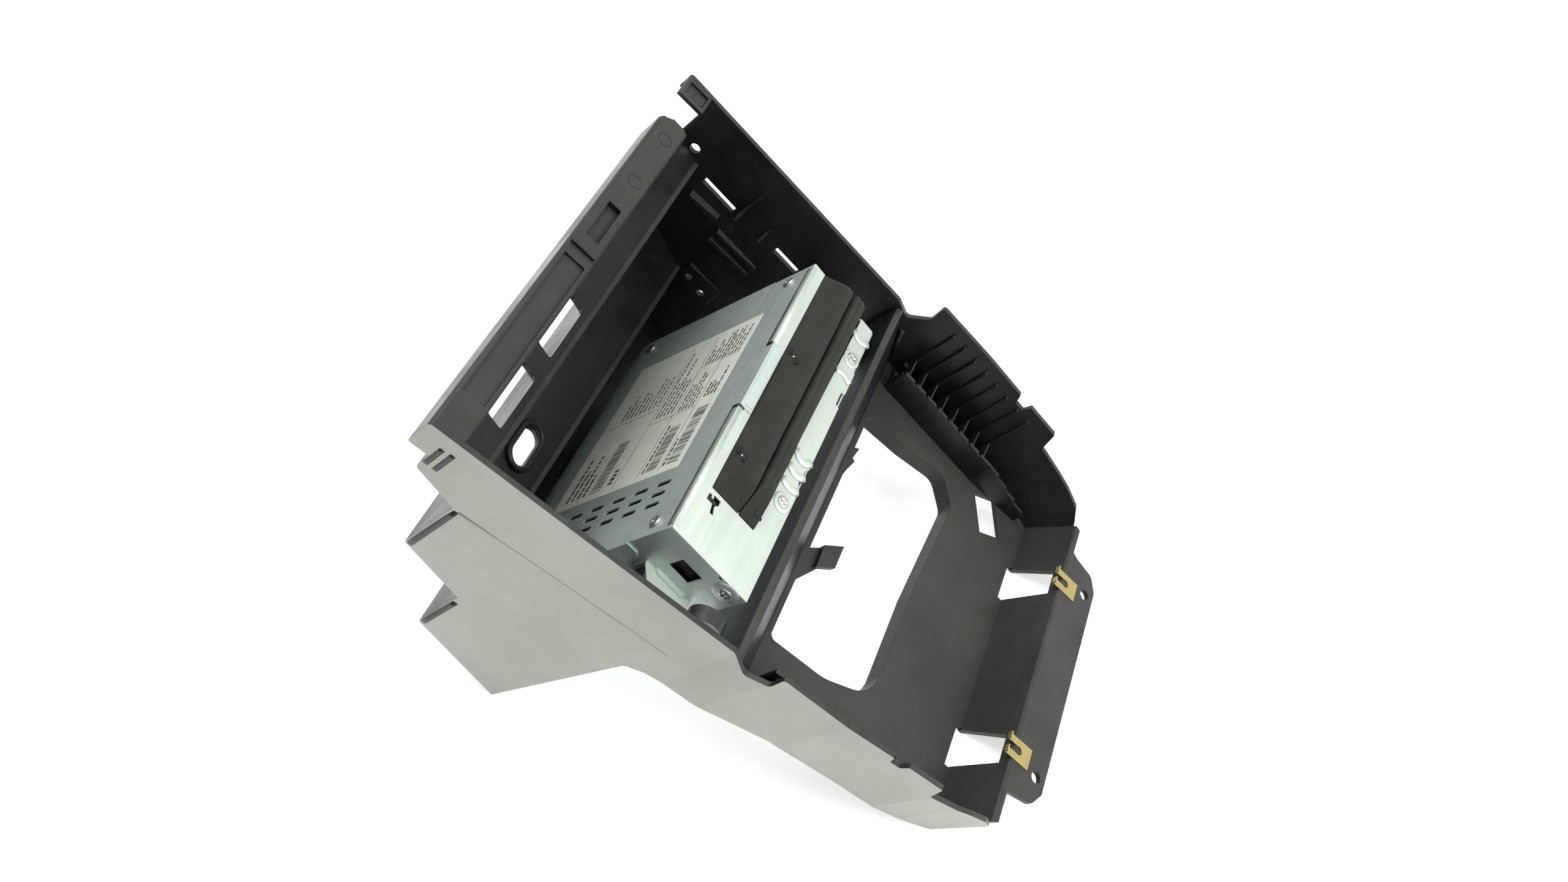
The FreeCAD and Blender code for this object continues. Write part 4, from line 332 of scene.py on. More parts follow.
@dataclass(frozen=True)
class MouldedPlastic:
    """Injection-moulded plastic with a fine grain, faint flow marks, dust, painted top light and, where
    given, a painted glare.

    Attributes:
        name: Name of the finish.
        base: Colour of clean plastic.
        dusty_and_lit: Colour where dust and rubbing have greyed it, and of the painted top light on faces
            that look up.
        roughness: Roughness of clean plastic.
        grain_mm: Size of the grain.
        relief: Height of the grain in metres.
        rounding: Radius of the edges' rounding.
        dust: Greatest share of the paler colour in the patches.
        upward_dust_and_light: Share of the paler colour on faces that look up: partly dust that lies there,
            partly painted top light.
        scuffed: Share of the paler colour in a scuff.
        gloss: Strength of the reflections.
        flow_marks: Pattern of the patches.
        specks: Pattern of the dust's specks.
        scuffs: Pattern of the scuffs, on stretched coordinates.
        scuff_stretch: Stretch of the scuffs along each axis.
        scuff_turn: Their rotation about each axis, in radians.
        patch_range: Values of the flow marks between which the patches fade in.
        upward_range: Upward looks of a face between which the dust and the painted top light fade in.
        scuff_range: Values of the scuffs' pattern between which a scuff fades in.
        speck_range: Values of the specks' pattern between which a speck fades in.
        painted_glare: Painted glare: a pale colour on the outward faces that stands in for the reflection of
            bright light, or None where a moulding has none.
        painted_glare_dim: Darkest tone of the painted glare, as a share of its colour.
        painted_glare_from_mm: Distance from the middle past which an outward face takes the painted glare.
        painted_glare_fade: How much further out the painted glare is whole, as a factor.
    """

    name: str
    base: Triple
    dusty_and_lit: Triple
    roughness: float = 0.42
    grain_mm: float = 0.7
    relief: float = 0.00003
    rounding: float = 0.0006
    dust: float = 0.22
    upward_dust_and_light: float = 0.5
    scuffed: float = 0.25
    gloss: float = 0.32
    flow_marks: Pattern = Pattern(22.0, 8.0, 0.62)
    specks: Pattern = Pattern(900.0, 2.0, 0.6)
    scuffs: Pattern = Pattern(1.0, 5.0, 0.6)
    scuff_stretch: Triple = (60.0, 260.0, 60.0)
    scuff_turn: Triple = (0.5, 0.3, 0.8)
    patch_range: Pair = (0.42, 0.74)
    upward_range: Pair = (0.6, 0.85)
    scuff_range: Pair = (0.58, 0.75)
    speck_range: Pair = (0.4, 0.8)
    painted_glare: Triple | None = None
    painted_glare_dim: float = 0.78
    painted_glare_from_mm: float = 60.0
    painted_glare_fade: float = 1.3

    def outward(self, shade: Shade) -> bpy.types.NodeSocket:
        """Mask of the faces that look away from the middle.

        Args:
            shade: Material that is being built.

        Returns:
            A socket that is 1 on those faces and 0 elsewhere.
        """
        product = shade.reckon("MULTIPLY", shade.part(shade.place(), "X"), shade.facing("X"))
        start = self.painted_glare_from_mm * MM
        return shade.spread(product, 0.0, 1.0, start, start * self.painted_glare_fade)

    def with_painted_glare(self, shade: Shade, inner: bpy.types.NodeSocket,
                patches: bpy.types.NodeSocket) -> bpy.types.NodeSocket:
        """Lays the painted glare over the inner colour, on the outward faces.

        Args:
            shade: Material that is being built.
            inner: Colour of the other faces.
            patches: Pattern of the painted glare's unevenness.

        Returns:
            The colour socket.
        """
        dull = tuple(part * self.painted_glare_dim for part in self.painted_glare)
        tint = shade.ramp(patches, [(0.3, dull), (0.62, self.painted_glare)])
        layers = shade.node("ShaderNodeMix", data_type="RGBA")
        shade.link(self.outward(shade), layers.inputs["Factor"])
        shade.link(inner, layers.inputs["A"])
        shade.link(tint, layers.inputs["B"])
        return layers.outputs["Result"]

    def dust_and_top_light(self, shade: Shade, patches: bpy.types.NodeSocket) -> bpy.types.NodeSocket:
        """Share of the paler colour: patches, dust and painted top light on faces that look up, and specked
        scuffs.

        Args:
            shade: Material that is being built.
            patches: Pattern of the patches.

        Returns:
            The factor socket.
        """
        specks = shade.noise(shade.place(), self.specks)
        scuffs = shade.noise(shade.place(self.scuff_stretch, self.scuff_turn), self.scuffs)
        # Faces that look up turn paler: partly dust that lies there, partly painted top light.
        lying_and_lit = shade.reckon("ADD", shade.spread(patches, 0.0, self.dust, *self.patch_range),
                             shade.spread(shade.facing("Z"), 0.0, self.upward_dust_and_light, *self.upward_range))
        return shade.reckon("MULTIPLY_ADD", shade.spread(scuffs, 0.0, self.scuffed, *self.scuff_range),
                            shade.spread(specks, 0.3, 1.0, *self.speck_range), lying_and_lit, clamp=True)

    def build(self) -> bpy.types.Material:
        """Makes the material.

        Returns:
            The material.
        """
        shade = Shade(self.name)
        patches = shade.noise(shade.place(), self.flow_marks)
        colour = shade.node("ShaderNodeMix", data_type="RGBA")
        colour.inputs["A"].default_value = (*self.base, 1)
        colour.inputs["B"].default_value = (*self.dusty_and_lit, 1)
        shade.link(self.dust_and_top_light(shade, patches), colour.inputs["Factor"])
        result = colour.outputs["Result"]
        # Painted glare: the outward faces take a pale colour that stands in for the reflection of bright
        # light.
        if self.painted_glare is not None:
            result = self.with_painted_glare(shade, result, patches)
        shade.feed(Base_Color=result,
                   Roughness=shade.spread(patches, self.roughness - 0.06, self.roughness + 0.14))
        shade.set(Specular_IOR_Level=self.gloss)
        grain = shade.noise(shade.place(), Pattern(1 / (self.grain_mm * MM), 3.0, 0.55))
        shade.bump(grain, self.relief, 0.6, self.rounding)
        return shade.material


@dataclass(frozen=True)
class ZincSheet:
    """Zinc-plated sheet steel with rolling marks, faint stains and fine scratches.

    Attributes:
        name: Name of the finish.
        base: Colour of the clean sheet.
        stained: Colour of the stains.
        roughness: Mean roughness.
        metallic: Share of bright metal; the rest is a matt white bloom.
        rolled: Waves per metre of the rolling marks along each axis.
        streaks: Pattern of the rolling marks, on stretched coordinates.
        stains: Pattern of the stains.
        scratches: Pattern of the fine relief.
        relief: Height of the relief in metres.
        rounding: Radius of the edges' rounding.
    """

    name: str
    base: Triple
    stained: Triple
    roughness: float = 0.34
    metallic: float = 0.6
    rolled: Triple = (9.0, 260.0, 260.0)
    streaks: Pattern = Pattern(1.0, 6.0, 0.7)
    stains: Pattern = Pattern(30.0, 6.0, 0.6)
    scratches: Pattern = Pattern(1400.0, 2.0)
    relief: float = 0.00002
    rounding: float = 0.0003

    def build(self) -> bpy.types.Material:
        """Makes the material.

        Returns:
            The material.
        """
        shade = Shade(self.name)
        streaks = shade.noise(shade.place(self.rolled), self.streaks)
        patches = shade.noise(shade.place(), self.stains)
        scratches = shade.noise(shade.place(), self.scratches)
        stained = shade.ramp(patches, [(0.3, self.base), (0.56, self.base), (0.8, self.stained)])
        uneven = shade.reckon("ADD", shade.spread(streaks, -0.07, 0.1),
                              shade.spread(patches, self.roughness - 0.05, self.roughness + 0.1))
        shade.feed(Base_Color=stained, Roughness=uneven)
        shade.set(Metallic=self.metallic)
        shade.bump(shade.reckon("ADD", streaks, scratches), self.relief, 0.35, self.rounding)
        return shade.material


@dataclass(frozen=True)
class FeltStrip:
    """Short dark felt, worn smooth and brown in patches.

    Attributes:
        name: Name of the finish.
        base: Colour of the pile.
        worn: Colour of the worn pile.
        pile: Pattern of the fibres.
        wear: Pattern of the worn patches.
        sheen: Strength of the pile's pale edge light.
        relief: Height of the pile in metres.
        rounding: Radius of the edges' rounding.
    """

    name: str
    base: Triple
    worn: Triple
    pile: Pattern = Pattern(1500.0, 4.0, 0.7)
    wear: Pattern = Pattern(60.0, 6.0, 0.65)
    sheen: float = 0.03
    relief: float = 0.0003
    rounding: float = 0.0008

    def build(self) -> bpy.types.Material:
        """Makes the material.

        Returns:
            The material.
        """
        shade = Shade(self.name)
        pile = shade.noise(shade.place(), self.pile)
        patches = shade.noise(shade.place(), self.wear)
        worn = shade.reckon("MULTIPLY", shade.spread(pile, 0.55, 1.3), shade.spread(patches, 0.2, 0.9),
                            clamp=True)
        shade.feed(Base_Color=shade.ramp(worn, [(0.0, self.base), (1.0, self.worn)]))
        shade.set(Roughness=0.85, Sheen_Weight=self.sheen, Sheen_Roughness=0.5)
        shade.bump(pile, self.relief, 0.7, self.rounding)
        return shade.material


@dataclass(frozen=True)
class CleanFinish:
    """A plain finish with slight unevenness in its colour and roughness.

    Attributes:
        name: Name of the finish.
        base: Its colour.
        roughness: Its mean roughness.
        metallic: 1 for bare metal.
        variation: How much the colour varies.
        unevenness: Pattern of colour and roughness.
        texture: Pattern of the relief.
        relief: Height of the relief in metres.
        rounding: Radius of the edges' rounding.
    """

    name: str
    base: Triple
    roughness: float = 0.4
    metallic: float = 0.0
    variation: float = 0.12
    unevenness: Pattern = Pattern(90.0, 5.0, 0.6)
    texture: Pattern = Pattern(600.0, 3.0)
    relief: float = 0.00002
    rounding: float = 0.0002

    def build(self) -> bpy.types.Material:
        """Makes the material.

        Returns:
            The material.
        """
        shade = Shade(self.name)
        uneven = shade.noise(shade.place(), self.unevenness)
        dark = tuple(part * (1 - self.variation) for part in self.base)
        light = tuple(min(1.0, part * (1 + self.variation)) for part in self.base)
        shade.feed(Base_Color=shade.ramp(uneven, [(0.3, dark), (0.7, light)]),
                   Roughness=shade.spread(uneven, self.roughness - 0.05, self.roughness + 0.07))
        shade.set(Metallic=self.metallic)
        shade.bump(shade.noise(shade.place(), self.texture), self.relief, 0.5, self.rounding)
        return shade.material


CHARCOAL = (0.0085, 0.0093, 0.0096)
# Paler tone of the plastic: dust, and painted top light on faces that look up.
DUST_AND_TOP_LIGHT_TONE = (0.075, 0.074, 0.067)
FINISHES = {
    "console_plastic": MouldedPlastic("charcoal moulding", CHARCOAL, DUST_AND_TOP_LIGHT_TONE, roughness=0.33),
    # The side walls' outward faces carry a painted glare, a pale colour standing in for reflected light.
    "wall_plastic": MouldedPlastic("charcoal moulding with grained outside", CHARCOAL, DUST_AND_TOP_LIGHT_TONE,
                                   roughness=0.35, painted_glare=(0.34, 0.35, 0.30)),
    "zinc_steel": ZincSheet("zinc sheet", (0.62, 0.72, 0.68), (0.44, 0.54, 0.50), 0.42, 0.5),
    "front_steel": ZincSheet("bright zinc sheet", (0.70, 0.80, 0.70), (0.56, 0.64, 0.56), 0.4),
    "gold_steel": ZincSheet("yellow passivated steel", (0.66, 0.54, 0.22), (0.46, 0.30, 0.14), 0.28, 0.85),
    "felt": FeltStrip("slot felt", (0.0085, 0.0082, 0.0064), (0.026, 0.0245, 0.018)),
    "label": CleanFinish("bare label film", (0.88, 0.89, 0.79), roughness=0.36, variation=0.05),
    "screw_steel": CleanFinish("plated screw steel", (0.66, 0.67, 0.62), 0.32, 0.85),
    "circuit_board": CleanFinish("solder mask", (0.012, 0.09, 0.035), 0.3),
    "dark_plastic": CleanFinish("black acetal", (0.014, 0.014, 0.016), 0.38),
    "light_plastic": CleanFinish("natural acetal", (0.62, 0.58, 0.50), 0.35),
    "aluminium": CleanFinish("extruded aluminium", (0.62, 0.63, 0.64), 0.42, 1.0),
    "grommet_rubber": CleanFinish("soft rubber", (0.018, 0.018, 0.02), 0.7),
    "motor_can": CleanFinish("drawn motor can", (0.56, 0.56, 0.55), 0.28, 1.0, 0.05),
    "polished_steel": CleanFinish("ground steel", (0.66, 0.66, 0.67), 0.16, 1.0, 0.04),
    "lens": CleanFinish("coated lens", (0.10, 0.13, 0.24), 0.08, 0.0, 0.05),
    "label_print": CleanFinish("dark print", (0.05, 0.05, 0.052), 0.5, variation=0.25),
    # Painted shadow: thin dark blocks stand in for the shade inside seams, slits and holes.
    "shadow_gap": CleanFinish("dark gap", (0.006, 0.006, 0.006), 0.7),
}

# Solids that take a finish of their own in place of their slot's.
SOLID_FINISH = {"left_side_wall": "wall_plastic", "right_side_wall": "wall_plastic",
                "left_lug_bracket": "front_steel", "right_lug_bracket": "front_steel"}


def linked_object(name: str, data: bpy.types.ID) -> bpy.types.Object:
    """A new object at the origin of the scene.

    Args:
        name: Name of the object.
        data: Its mesh, light or camera.

    Returns:
        The object.
    """
    item = bpy.data.objects.new(name, data)
    bpy.context.scene.collection.objects.link(item)
    return item


def baked_mesh(item: bpy.types.Object) -> bpy.types.Mesh:
    """An object's mesh with its modifiers carried out."""
    graph = bpy.context.evaluated_depsgraph_get()
    return bpy.data.meshes.new_from_object(item.evaluated_get(graph))


def millimetres(*parts: float) -> Vector:
    """A vector in metres from millimetres."""
    return Vector(parts) * MM


def loft_mesh(name: str, rings: list[list[Vector]], endless: bool = False,
              smooth: bool = True) -> bpy.types.Mesh:
    """Skin over a row of closed outlines with the same number of points.

    Args:
        name: Name of the mesh.
        rings: The outlines.
        endless: Whether the last outline joins the first. Otherwise both ends are capped.
        smooth: Whether the lofted faces are shaded smoothly.

    Returns:
        The mesh.
    """
    form = bmesh.new()
    rows = [[form.verts.new(point) for point in ring] for ring in rings]
    pairs = list(zip(rows, rows[1:]))
    if endless:
        pairs.append((rows[-1], rows[0]))
    for low, high in pairs:
        for index in range(len(low)):
            after = (index + 1) % len(low)
            form.faces.new((low[index], low[after], high[after], high[index]))
    if not endless:
        form.faces.new(rows[0])
        form.faces.new(rows[-1])
    bmesh.ops.recalc_face_normals(form, faces=form.faces)
    for face in form.faces:
        face.smooth = smooth and len(face.verts) == 4
    mesh = bpy.data.meshes.new(name)
    form.to_mesh(mesh)
    form.free()
    return mesh


def join_meshes(name: str, meshes: list[bpy.types.Mesh]) -> bpy.types.Mesh:
    """One mesh of several separate shells.

    Args:
        name: Name of the mesh.
        meshes: The shells.

    Returns:
        The mesh.
    """
    form = bmesh.new()
    for mesh in meshes:
        form.from_mesh(mesh)
    joined = bpy.data.meshes.new(name)
    form.to_mesh(joined)
    form.free()
    return joined


def half_round(width_mm: float, height_mm: float) -> list[Pair]:
    """Section of a raised bead.

    Args:
        width_mm: Its width.
        height_mm: Its height.

    Returns:
        Across and outward places of its corners, in millimetres.
    """
    half = width_mm / 2
    flank = [(half * across, height_mm * rise) for across, rise in ((0.78, 0.55), (0.35, 0.93))]
    right = [(half, -0.05), *flank]
    return [(-across, outward) for across, outward in right] + right[::-1]


def bead_mesh(name: str, path: list[Vector], outward: Vector, section: list[Pair],
              endless: bool = False) -> bpy.types.Mesh:
    """A raised bead that follows a path on a face.

    Args:
        name: Name of the mesh.
        path: Points on the face.
        outward: Direction away from the face.
        section: Across and outward places of the section, in millimetres.
        endless: Whether the path is a loop.

    Returns:
        The mesh.
    """
    rings = []
    for index, point in enumerate(path):
        before = path[index - 1] if endless or index else point
        after = path[(index + 1) % len(path)] if endless or index + 1 < len(path) else point
        across = outward.cross((after - before).normalized())
        rings.append([point + (across * side + outward * height) * MM for side, height in section])
    return loft_mesh(name, rings, endless)


def round_path(centre: Vector, first: Vector, second: Vector, radius_mm: float, stretch_mm: float = 0.0,
               steps: int = 32) -> list[Vector]:
    """Points of a circle or, with a stretch, of a stadium.

    Args:
        centre: Its middle.
        first: Direction of the long axis.
        second: Direction of the short axis.
        radius_mm: Radius.
        stretch_mm: Half of the straight part's length.
        steps: Number of points.

    Returns:
        The points, in order round the loop.
    """
    points = []
    for step in range(steps):
        angle = math.tau * (step + 0.5) / steps
        shift = math.copysign(stretch_mm, math.cos(angle))
        along = (radius_mm * math.cos(angle) + shift) * MM
        aside = radius_mm * math.sin(angle) * MM
        points.append(centre + first * along + second * aside)
    return points


def dome_mesh(name: str, centre: Vector, first: Vector, second: Vector, profile: Outline) -> bpy.types.Mesh:
    """A low turned form on a face.

    Args:
        name: Name of the mesh.
        centre: Middle of its foot.
        first: One direction along the face.
        second: The other direction along the face.
        profile: Radius and height of each ring, from the foot to the top, in millimetres.

    Returns:
        The mesh.
    """
    outward = first.cross(second)
    rings = [round_path(centre + outward * height * MM, first, second, radius) for radius, height in profile]
    return loft_mesh(name, rings)


def block_mesh(name: str) -> bpy.types.Mesh:
    """A block of one metre with its foot on the origin, for stamping flat bars.

    Args:
        name: Name of the mesh.

    Returns:
        The mesh.
    """
    mesh = bpy.data.meshes.new(name)
    form = bmesh.new()
    bmesh.ops.create_cube(form, size=1.0, matrix=Matrix.Translation((0, 0, 0.5)))
    form.to_mesh(mesh)
    form.free()
    return mesh


@dataclass(frozen=True)
class Mark:
    """One place where a shape is stamped.

    Attributes:
        place: The place, in metres.
        size: Stretch of the shape along each axis.
        turn: Rotation of the shape about each axis, in radians.
    """

    place: Vector
    size: Triple = (1, 1, 1)
    turn: Triple = (0, 0, 0)


class Stamp:
    """Geometry Nodes tree that puts a shape on every mark."""

    def __init__(self) -> None:
        """Builds the tree."""
        self.tree = bpy.data.node_groups.new("stamp_on_marks", "GeometryNodeTree")
        outside = self.tree.interface
        outside.new_socket("Marks", in_out="INPUT", socket_type="NodeSocketGeometry")
        kinds = {"Shape": "NodeSocketObject", "Finish": "NodeSocketMaterial", "Scale": "NodeSocketFloat"}
        self.inputs = {name: outside.new_socket(name, in_out="INPUT", socket_type=kind).identifier
                       for name, kind in kinds.items()}
        outside.new_socket("Pieces", in_out="OUTPUT", socket_type="NodeSocketGeometry")
        start = self.tree.nodes.new("NodeGroupInput")
        shape = self.tree.nodes.new("GeometryNodeObjectInfo")
        put = self.tree.nodes.new("GeometryNodeInstanceOnPoints")
        turn = self.tree.nodes.new("FunctionNodeEulerToRotation")
        scale = self.tree.nodes.new("ShaderNodeVectorMath")
        scale.operation = "SCALE"
        loose = self.tree.nodes.new("GeometryNodeRealizeInstances")
        dress = self.tree.nodes.new("GeometryNodeSetMaterial")
        end = self.tree.nodes.new("NodeGroupOutput")
        link = self.tree.links.new
        link(start.outputs["Marks"], put.inputs["Points"])
        link(start.outputs["Shape"], shape.inputs["Object"])
        link(shape.outputs["Geometry"], put.inputs["Instance"])
        link(self.attribute("turn"), turn.inputs["Euler"])
        link(turn.outputs["Rotation"], put.inputs["Rotation"])
        link(self.attribute("size"), scale.inputs["Vector"])
        link(start.outputs["Scale"], scale.inputs["Scale"])
        link(scale.outputs["Vector"], put.inputs["Scale"])
        link(put.outputs["Instances"], loose.inputs["Geometry"])
        link(loose.outputs["Geometry"], dress.inputs["Geometry"])
        link(start.outputs["Finish"], dress.inputs["Material"])
        link(dress.outputs["Geometry"], end.inputs["Pieces"])

    def attribute(self, name: str) -> bpy.types.NodeSocket:
        """Reads a vector that each mark carries.

        Args:
            name: Name of the vector.

        Returns:
            The vector socket.
        """
        reader = self.tree.nodes.new("GeometryNodeInputNamedAttribute")
        reader.data_type = "FLOAT_VECTOR"
        reader.inputs["Name"].default_value = name
        return reader.outputs["Attribute"]

    def press(self, name: str, marks: list[Mark], shape: bpy.types.Mesh, finish: bpy.types.Material,
              scale: float) -> bpy.types.Mesh:
        """Stamps a shape on every mark and bakes the result.

        Args:
            name: Name of the mesh.
            marks: Where the shape goes.
            shape: The shape, around its own origin.
            finish: Its material.
            scale: Size of every shape, times its own.

        Returns:
            One plain mesh.
        """
        points = bpy.data.meshes.new(f"{name}_marks")
        points.from_pydata([mark.place for mark in marks], [], [])
        for label in ("size", "turn"):
            layer = points.attributes.new(label, "FLOAT_VECTOR", "POINT")
            for cell, mark in zip(layer.data, marks):
                cell.vector = getattr(mark, label)
        holder = linked_object(f"{name}_holder", points)
        model = linked_object(f"{name}_model", shape)
        modifier = holder.modifiers.new("stamp", "NODES")
        modifier.node_group = self.tree
        modifier[self.inputs["Shape"]] = model
        modifier[self.inputs["Finish"]] = finish
        modifier[self.inputs["Scale"]] = scale
        baked = baked_mesh(holder)
        baked.name = name
        holder.modifiers.remove(modifier)
        for item in (holder, model):
            bpy.data.objects.remove(item)
        return baked


class Wardrobe:
    """Makes each finish once and hands it out by its slot's name."""

    def __init__(self) -> None:
        """Starts empty."""
        self.made: dict[str, bpy.types.Material] = {}

    def take(self, slot: str) -> bpy.types.Material:
        """Material of a slot, made when it is first asked for.

        Args:
            slot: Name of the finish.

        Returns:
            The material.
        """
        if slot not in self.made:
            self.made[slot] = FINISHES[slot].build()
        return self.made[slot]

    def dress(self, nodes: dict[str, bpy.types.Object], record: dict) -> None:
        """Gives every solid its finish by the record's slots.

        Args:
            nodes: Solids by name.
            record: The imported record.
        """
        for entry in record["subparts"]:
            solid = nodes[entry["node"]]
            material = self.take(SOLID_FINISH.get(entry["node"], entry["material_slot"]))
            if not solid.material_slots:
                solid.data.materials.append(material)
            for slot in solid.material_slots:
                slot.material = material
        LOG.info("dressed %d solids", len(record["subparts"]))


@dataclass
class Workshop:
    """What every sub-assembly needs to add a piece.

    Attributes:
        unit: The disc unit's frame.
        console: The console's frame.
        body: Name of the fixed body.
        wardrobe: The finishes.
        stamp: The tree that puts a shape on every mark.
    """

    unit: Lay
    console: Lay
    body: str
    wardrobe: Wardrobe = field(default_factory=Wardrobe)
    stamp: Stamp = field(default_factory=Stamp)

    def add(self, name: str, mesh: bpy.types.Mesh, slot: str, lay: Lay | None = None,
            stands_for: tuple[str, ...] = ()) -> None:
        """Adds a finished mesh to the fixed body.

        Args:
            name: Name of the piece.
            mesh: Its mesh, in metres, in the frame of lay or in the row's frame.
            slot: Finish that it takes.
            lay: Design frame of the mesh, if it isn't the row's.
            stands_for: Solids that the piece is shown in place of.
        """
        if lay is not None:
            mesh.transform(lay.matrix())
        mesh.materials.clear()
        mesh.materials.append(self.wardrobe.take(slot))
        piece = linked_object(name, mesh)
        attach(piece, self.body)
        if stands_for:
            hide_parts(*stands_for)
        LOG.info("%s: %d faces", name, len(mesh.polygons))

    def stamp_on_unit(self, name: str, marks: list[Mark], shape: bpy.types.Mesh, slot: str,
                      scale: float = 1.0, stands_for: tuple[str, ...] = ()) -> None:
        """Adds a shape on every mark, in the unit's frame.

        Args:
            name: Name of the piece.
            marks: Where the shape goes.
            shape: The shape, around its own origin.
            slot: Finish that it takes.
            scale: Size of every shape, times its own.
            stands_for: Solids that the piece is shown in place of.
        """
        mesh = self.stamp.press(name, marks, shape, self.wardrobe.take(slot), scale)
        self.add(name, mesh, slot, self.unit, stands_for)


@dataclass(frozen=True)
class WordField:
    """Rows of short bars that stand for print.

    Widths count from the print's left edge, depths from the label's front edge.

    Attributes:
        left_mm: Left end of the rows.
        right_mm: Right end of the rows.
        front_mm: Front of the first row.
        rows: Number of rows.
        pitch_mm: Distance from row to row.
        height_mm: Height of a bar.
        cuts: How much shorter a row may be, as shares of its length.
        lengths_mm: Least and greatest length of a bar.
        gaps_mm: Least and greatest gap after a bar.
        least_mm: Room at a row's end that stays empty.
    """

    left_mm: float
    right_mm: float
    front_mm: float
    rows: int
    pitch_mm: float
    height_mm: float
    cuts: tuple[float, ...] = (0.0, 0.12, 0.3, 0.5)
    lengths_mm: Pair = (1.4, 5.0)
    gaps_mm: Pair = (0.6, 1.1)
    least_mm: float = 1.2

    def bars(self, draw: random.Random, left: float, front: float) -> list[Four]:
        """The bars: left, front, right and rear of each.

        Args:
            draw: Random draws.
            left: The print's left edge.
            front: The label's front edge.

        Returns:
            The bars.
        """
        found = []
        first = left + self.left_mm
        last = left + self.right_mm
        for row in range(self.rows):
            x = first
            near = front + self.front_mm + row * self.pitch_mm
            stop = last - (last - first) * draw.choice(self.cuts)
            while x < stop - self.least_mm:
                length = min(draw.uniform(*self.lengths_mm), stop - x)
                found.append((x, near, x + length, near + self.height_mm))
                x += length + draw.uniform(*self.gaps_mm)
        return found


@dataclass(frozen=True)
class StripeField:
    """A field of upright strokes of uneven width, placed as a field of words is.

    Attributes:
        left_mm: Left end of the field.
        right_mm: Right end of the field.
        front_mm: Front end of the strokes.
        rear_mm: Rear end of the strokes.
        widths_mm: Widths of the strokes.
        gaps_mm: Widths of the gaps.
    """

    left_mm: float
    right_mm: float
    front_mm: float
    rear_mm: float
    widths_mm: Triple = (0.3, 0.55, 0.8)
    gaps_mm: Triple = (0.35, 0.6, 0.85)

    def bars(self, draw: random.Random, left: float, front: float) -> list[Four]:
        """The strokes: left, front, right and rear of each.

        Args:
            draw: Random draws.
            left: The print's left edge.
            front: The label's front edge.

        Returns:
            The strokes.
        """
        found = []
        x = left + self.left_mm
        while x < left + self.right_mm:
            width = draw.choice(self.widths_mm)
            found.append((x, front + self.front_mm, x + width, front + self.rear_mm))
            x += width + draw.choice(self.gaps_mm)
        return found


@dataclass
class LabelPrint:
    """Generic ruled boxes and bars on the bare label. Nothing on them can be read.

    Attributes:
        left_mm: Label's left edge.
        front_mm: Label's front edge.
        width_mm: Label's width.
        depth_mm: Label's depth.
        thick_mm: Label's thickness.
        sunk_mm: How deep the print's foot lies in the label.
        proud_mm: How far the print stands up.
        line_mm: Width of a ruled line.
        rule_margin_mm: Distance of the ruled lines from the label's sides.
        print_margin_mm: Distance of the print from the label's left side.
        cross_rules: Places of the lines from side to side, as shares of the depth.
        long_rules: Share of the width, shift in millimetres, and both ends as shares of the depth.
        fields: Words and stripes, in the order in which they are drawn.
        seed: Start of the random draws.
    """

    left_mm: float = -45.5
    front_mm: float = Design.label_front_mm
    width_mm: float = 107.5
    depth_mm: float = 90.4
    thick_mm: float = 0.15
    sunk_mm: float = 0.01
    proud_mm: float = 0.02
    line_mm: float = 0.3
    rule_margin_mm: float = 3.0
    print_margin_mm: float = 5.0
    cross_rules: Triple = (0.16, 0.33, 0.52)
    long_rules: tuple[Four, ...] = (
        (0.42, 0.0, 0.16, 0.52), (0.76, 0.0, 0.03, 0.33), (0.42, 12.0, 0.52, 0.95))
    fields: tuple[WordField | StripeField, ...] = (
        StripeField(0, 38, 3, 11),
        WordField(0, 36, 12, 1, 2, 1.3),
        WordField(46, 68, 4, 4, 2.3, 1.1),
        WordField(76, 97.5, 3.5, 11, 2.3, 0.95),
        StripeField(0, 30, 17.5, 25),
        WordField(0, 34, 26.2, 1, 2, 1.2),
        WordField(42, 70, 17, 5, 2.4, 1.0),
        WordField(44, 93.5, 32.5, 5, 2.8, 1.0),
        WordField(2, 12, 50, 1, 4, 3.2),
        StripeField(0, 34, 57, 65),
        WordField(56, 81.5, 50, 9, 3.4, 1.0),
        WordField(0, 30, 69, 4, 4.2, 1.5),
    )
    seed: int = 7

    def rules(self) -> list[Four]:
        """Thin lines between the label's fields.

        Returns:
            Left, front, right and rear of each.
        """
        left = self.left_mm + self.rule_margin_mm
        right = self.left_mm + self.width_mm - self.rule_margin_mm
        found = []
        for share in self.cross_rules:
            near = self.front_mm + share * self.depth_mm
            found.append((left, near, right, near + self.line_mm))
        for share, shift, first, last in self.long_rules:
            x = left + (right - left) * share + shift
            found.append((x, self.front_mm + first * self.depth_mm, x + self.line_mm,
                          self.front_mm + last * self.depth_mm))
        return found

    def build(self, shop: Workshop) -> None:
        """Adds the print.

        Args:
            shop: Where the piece is added.
        """
        draw = random.Random(self.seed)
        bars = self.rules()
        for printed in self.fields:
            bars += printed.bars(draw, self.left_mm + self.print_margin_mm, self.front_mm)
        foot = self.thick_mm - self.sunk_mm
        marks = [Mark(millimetres((left + right) / 2, (front + rear) / 2, foot),
                      (right - left, rear - front, self.proud_mm + self.sunk_mm))
                 for left, front, right, rear in bars]
        shop.stamp_on_unit("label_print", marks, block_mesh("bar"), "label_print", MM)


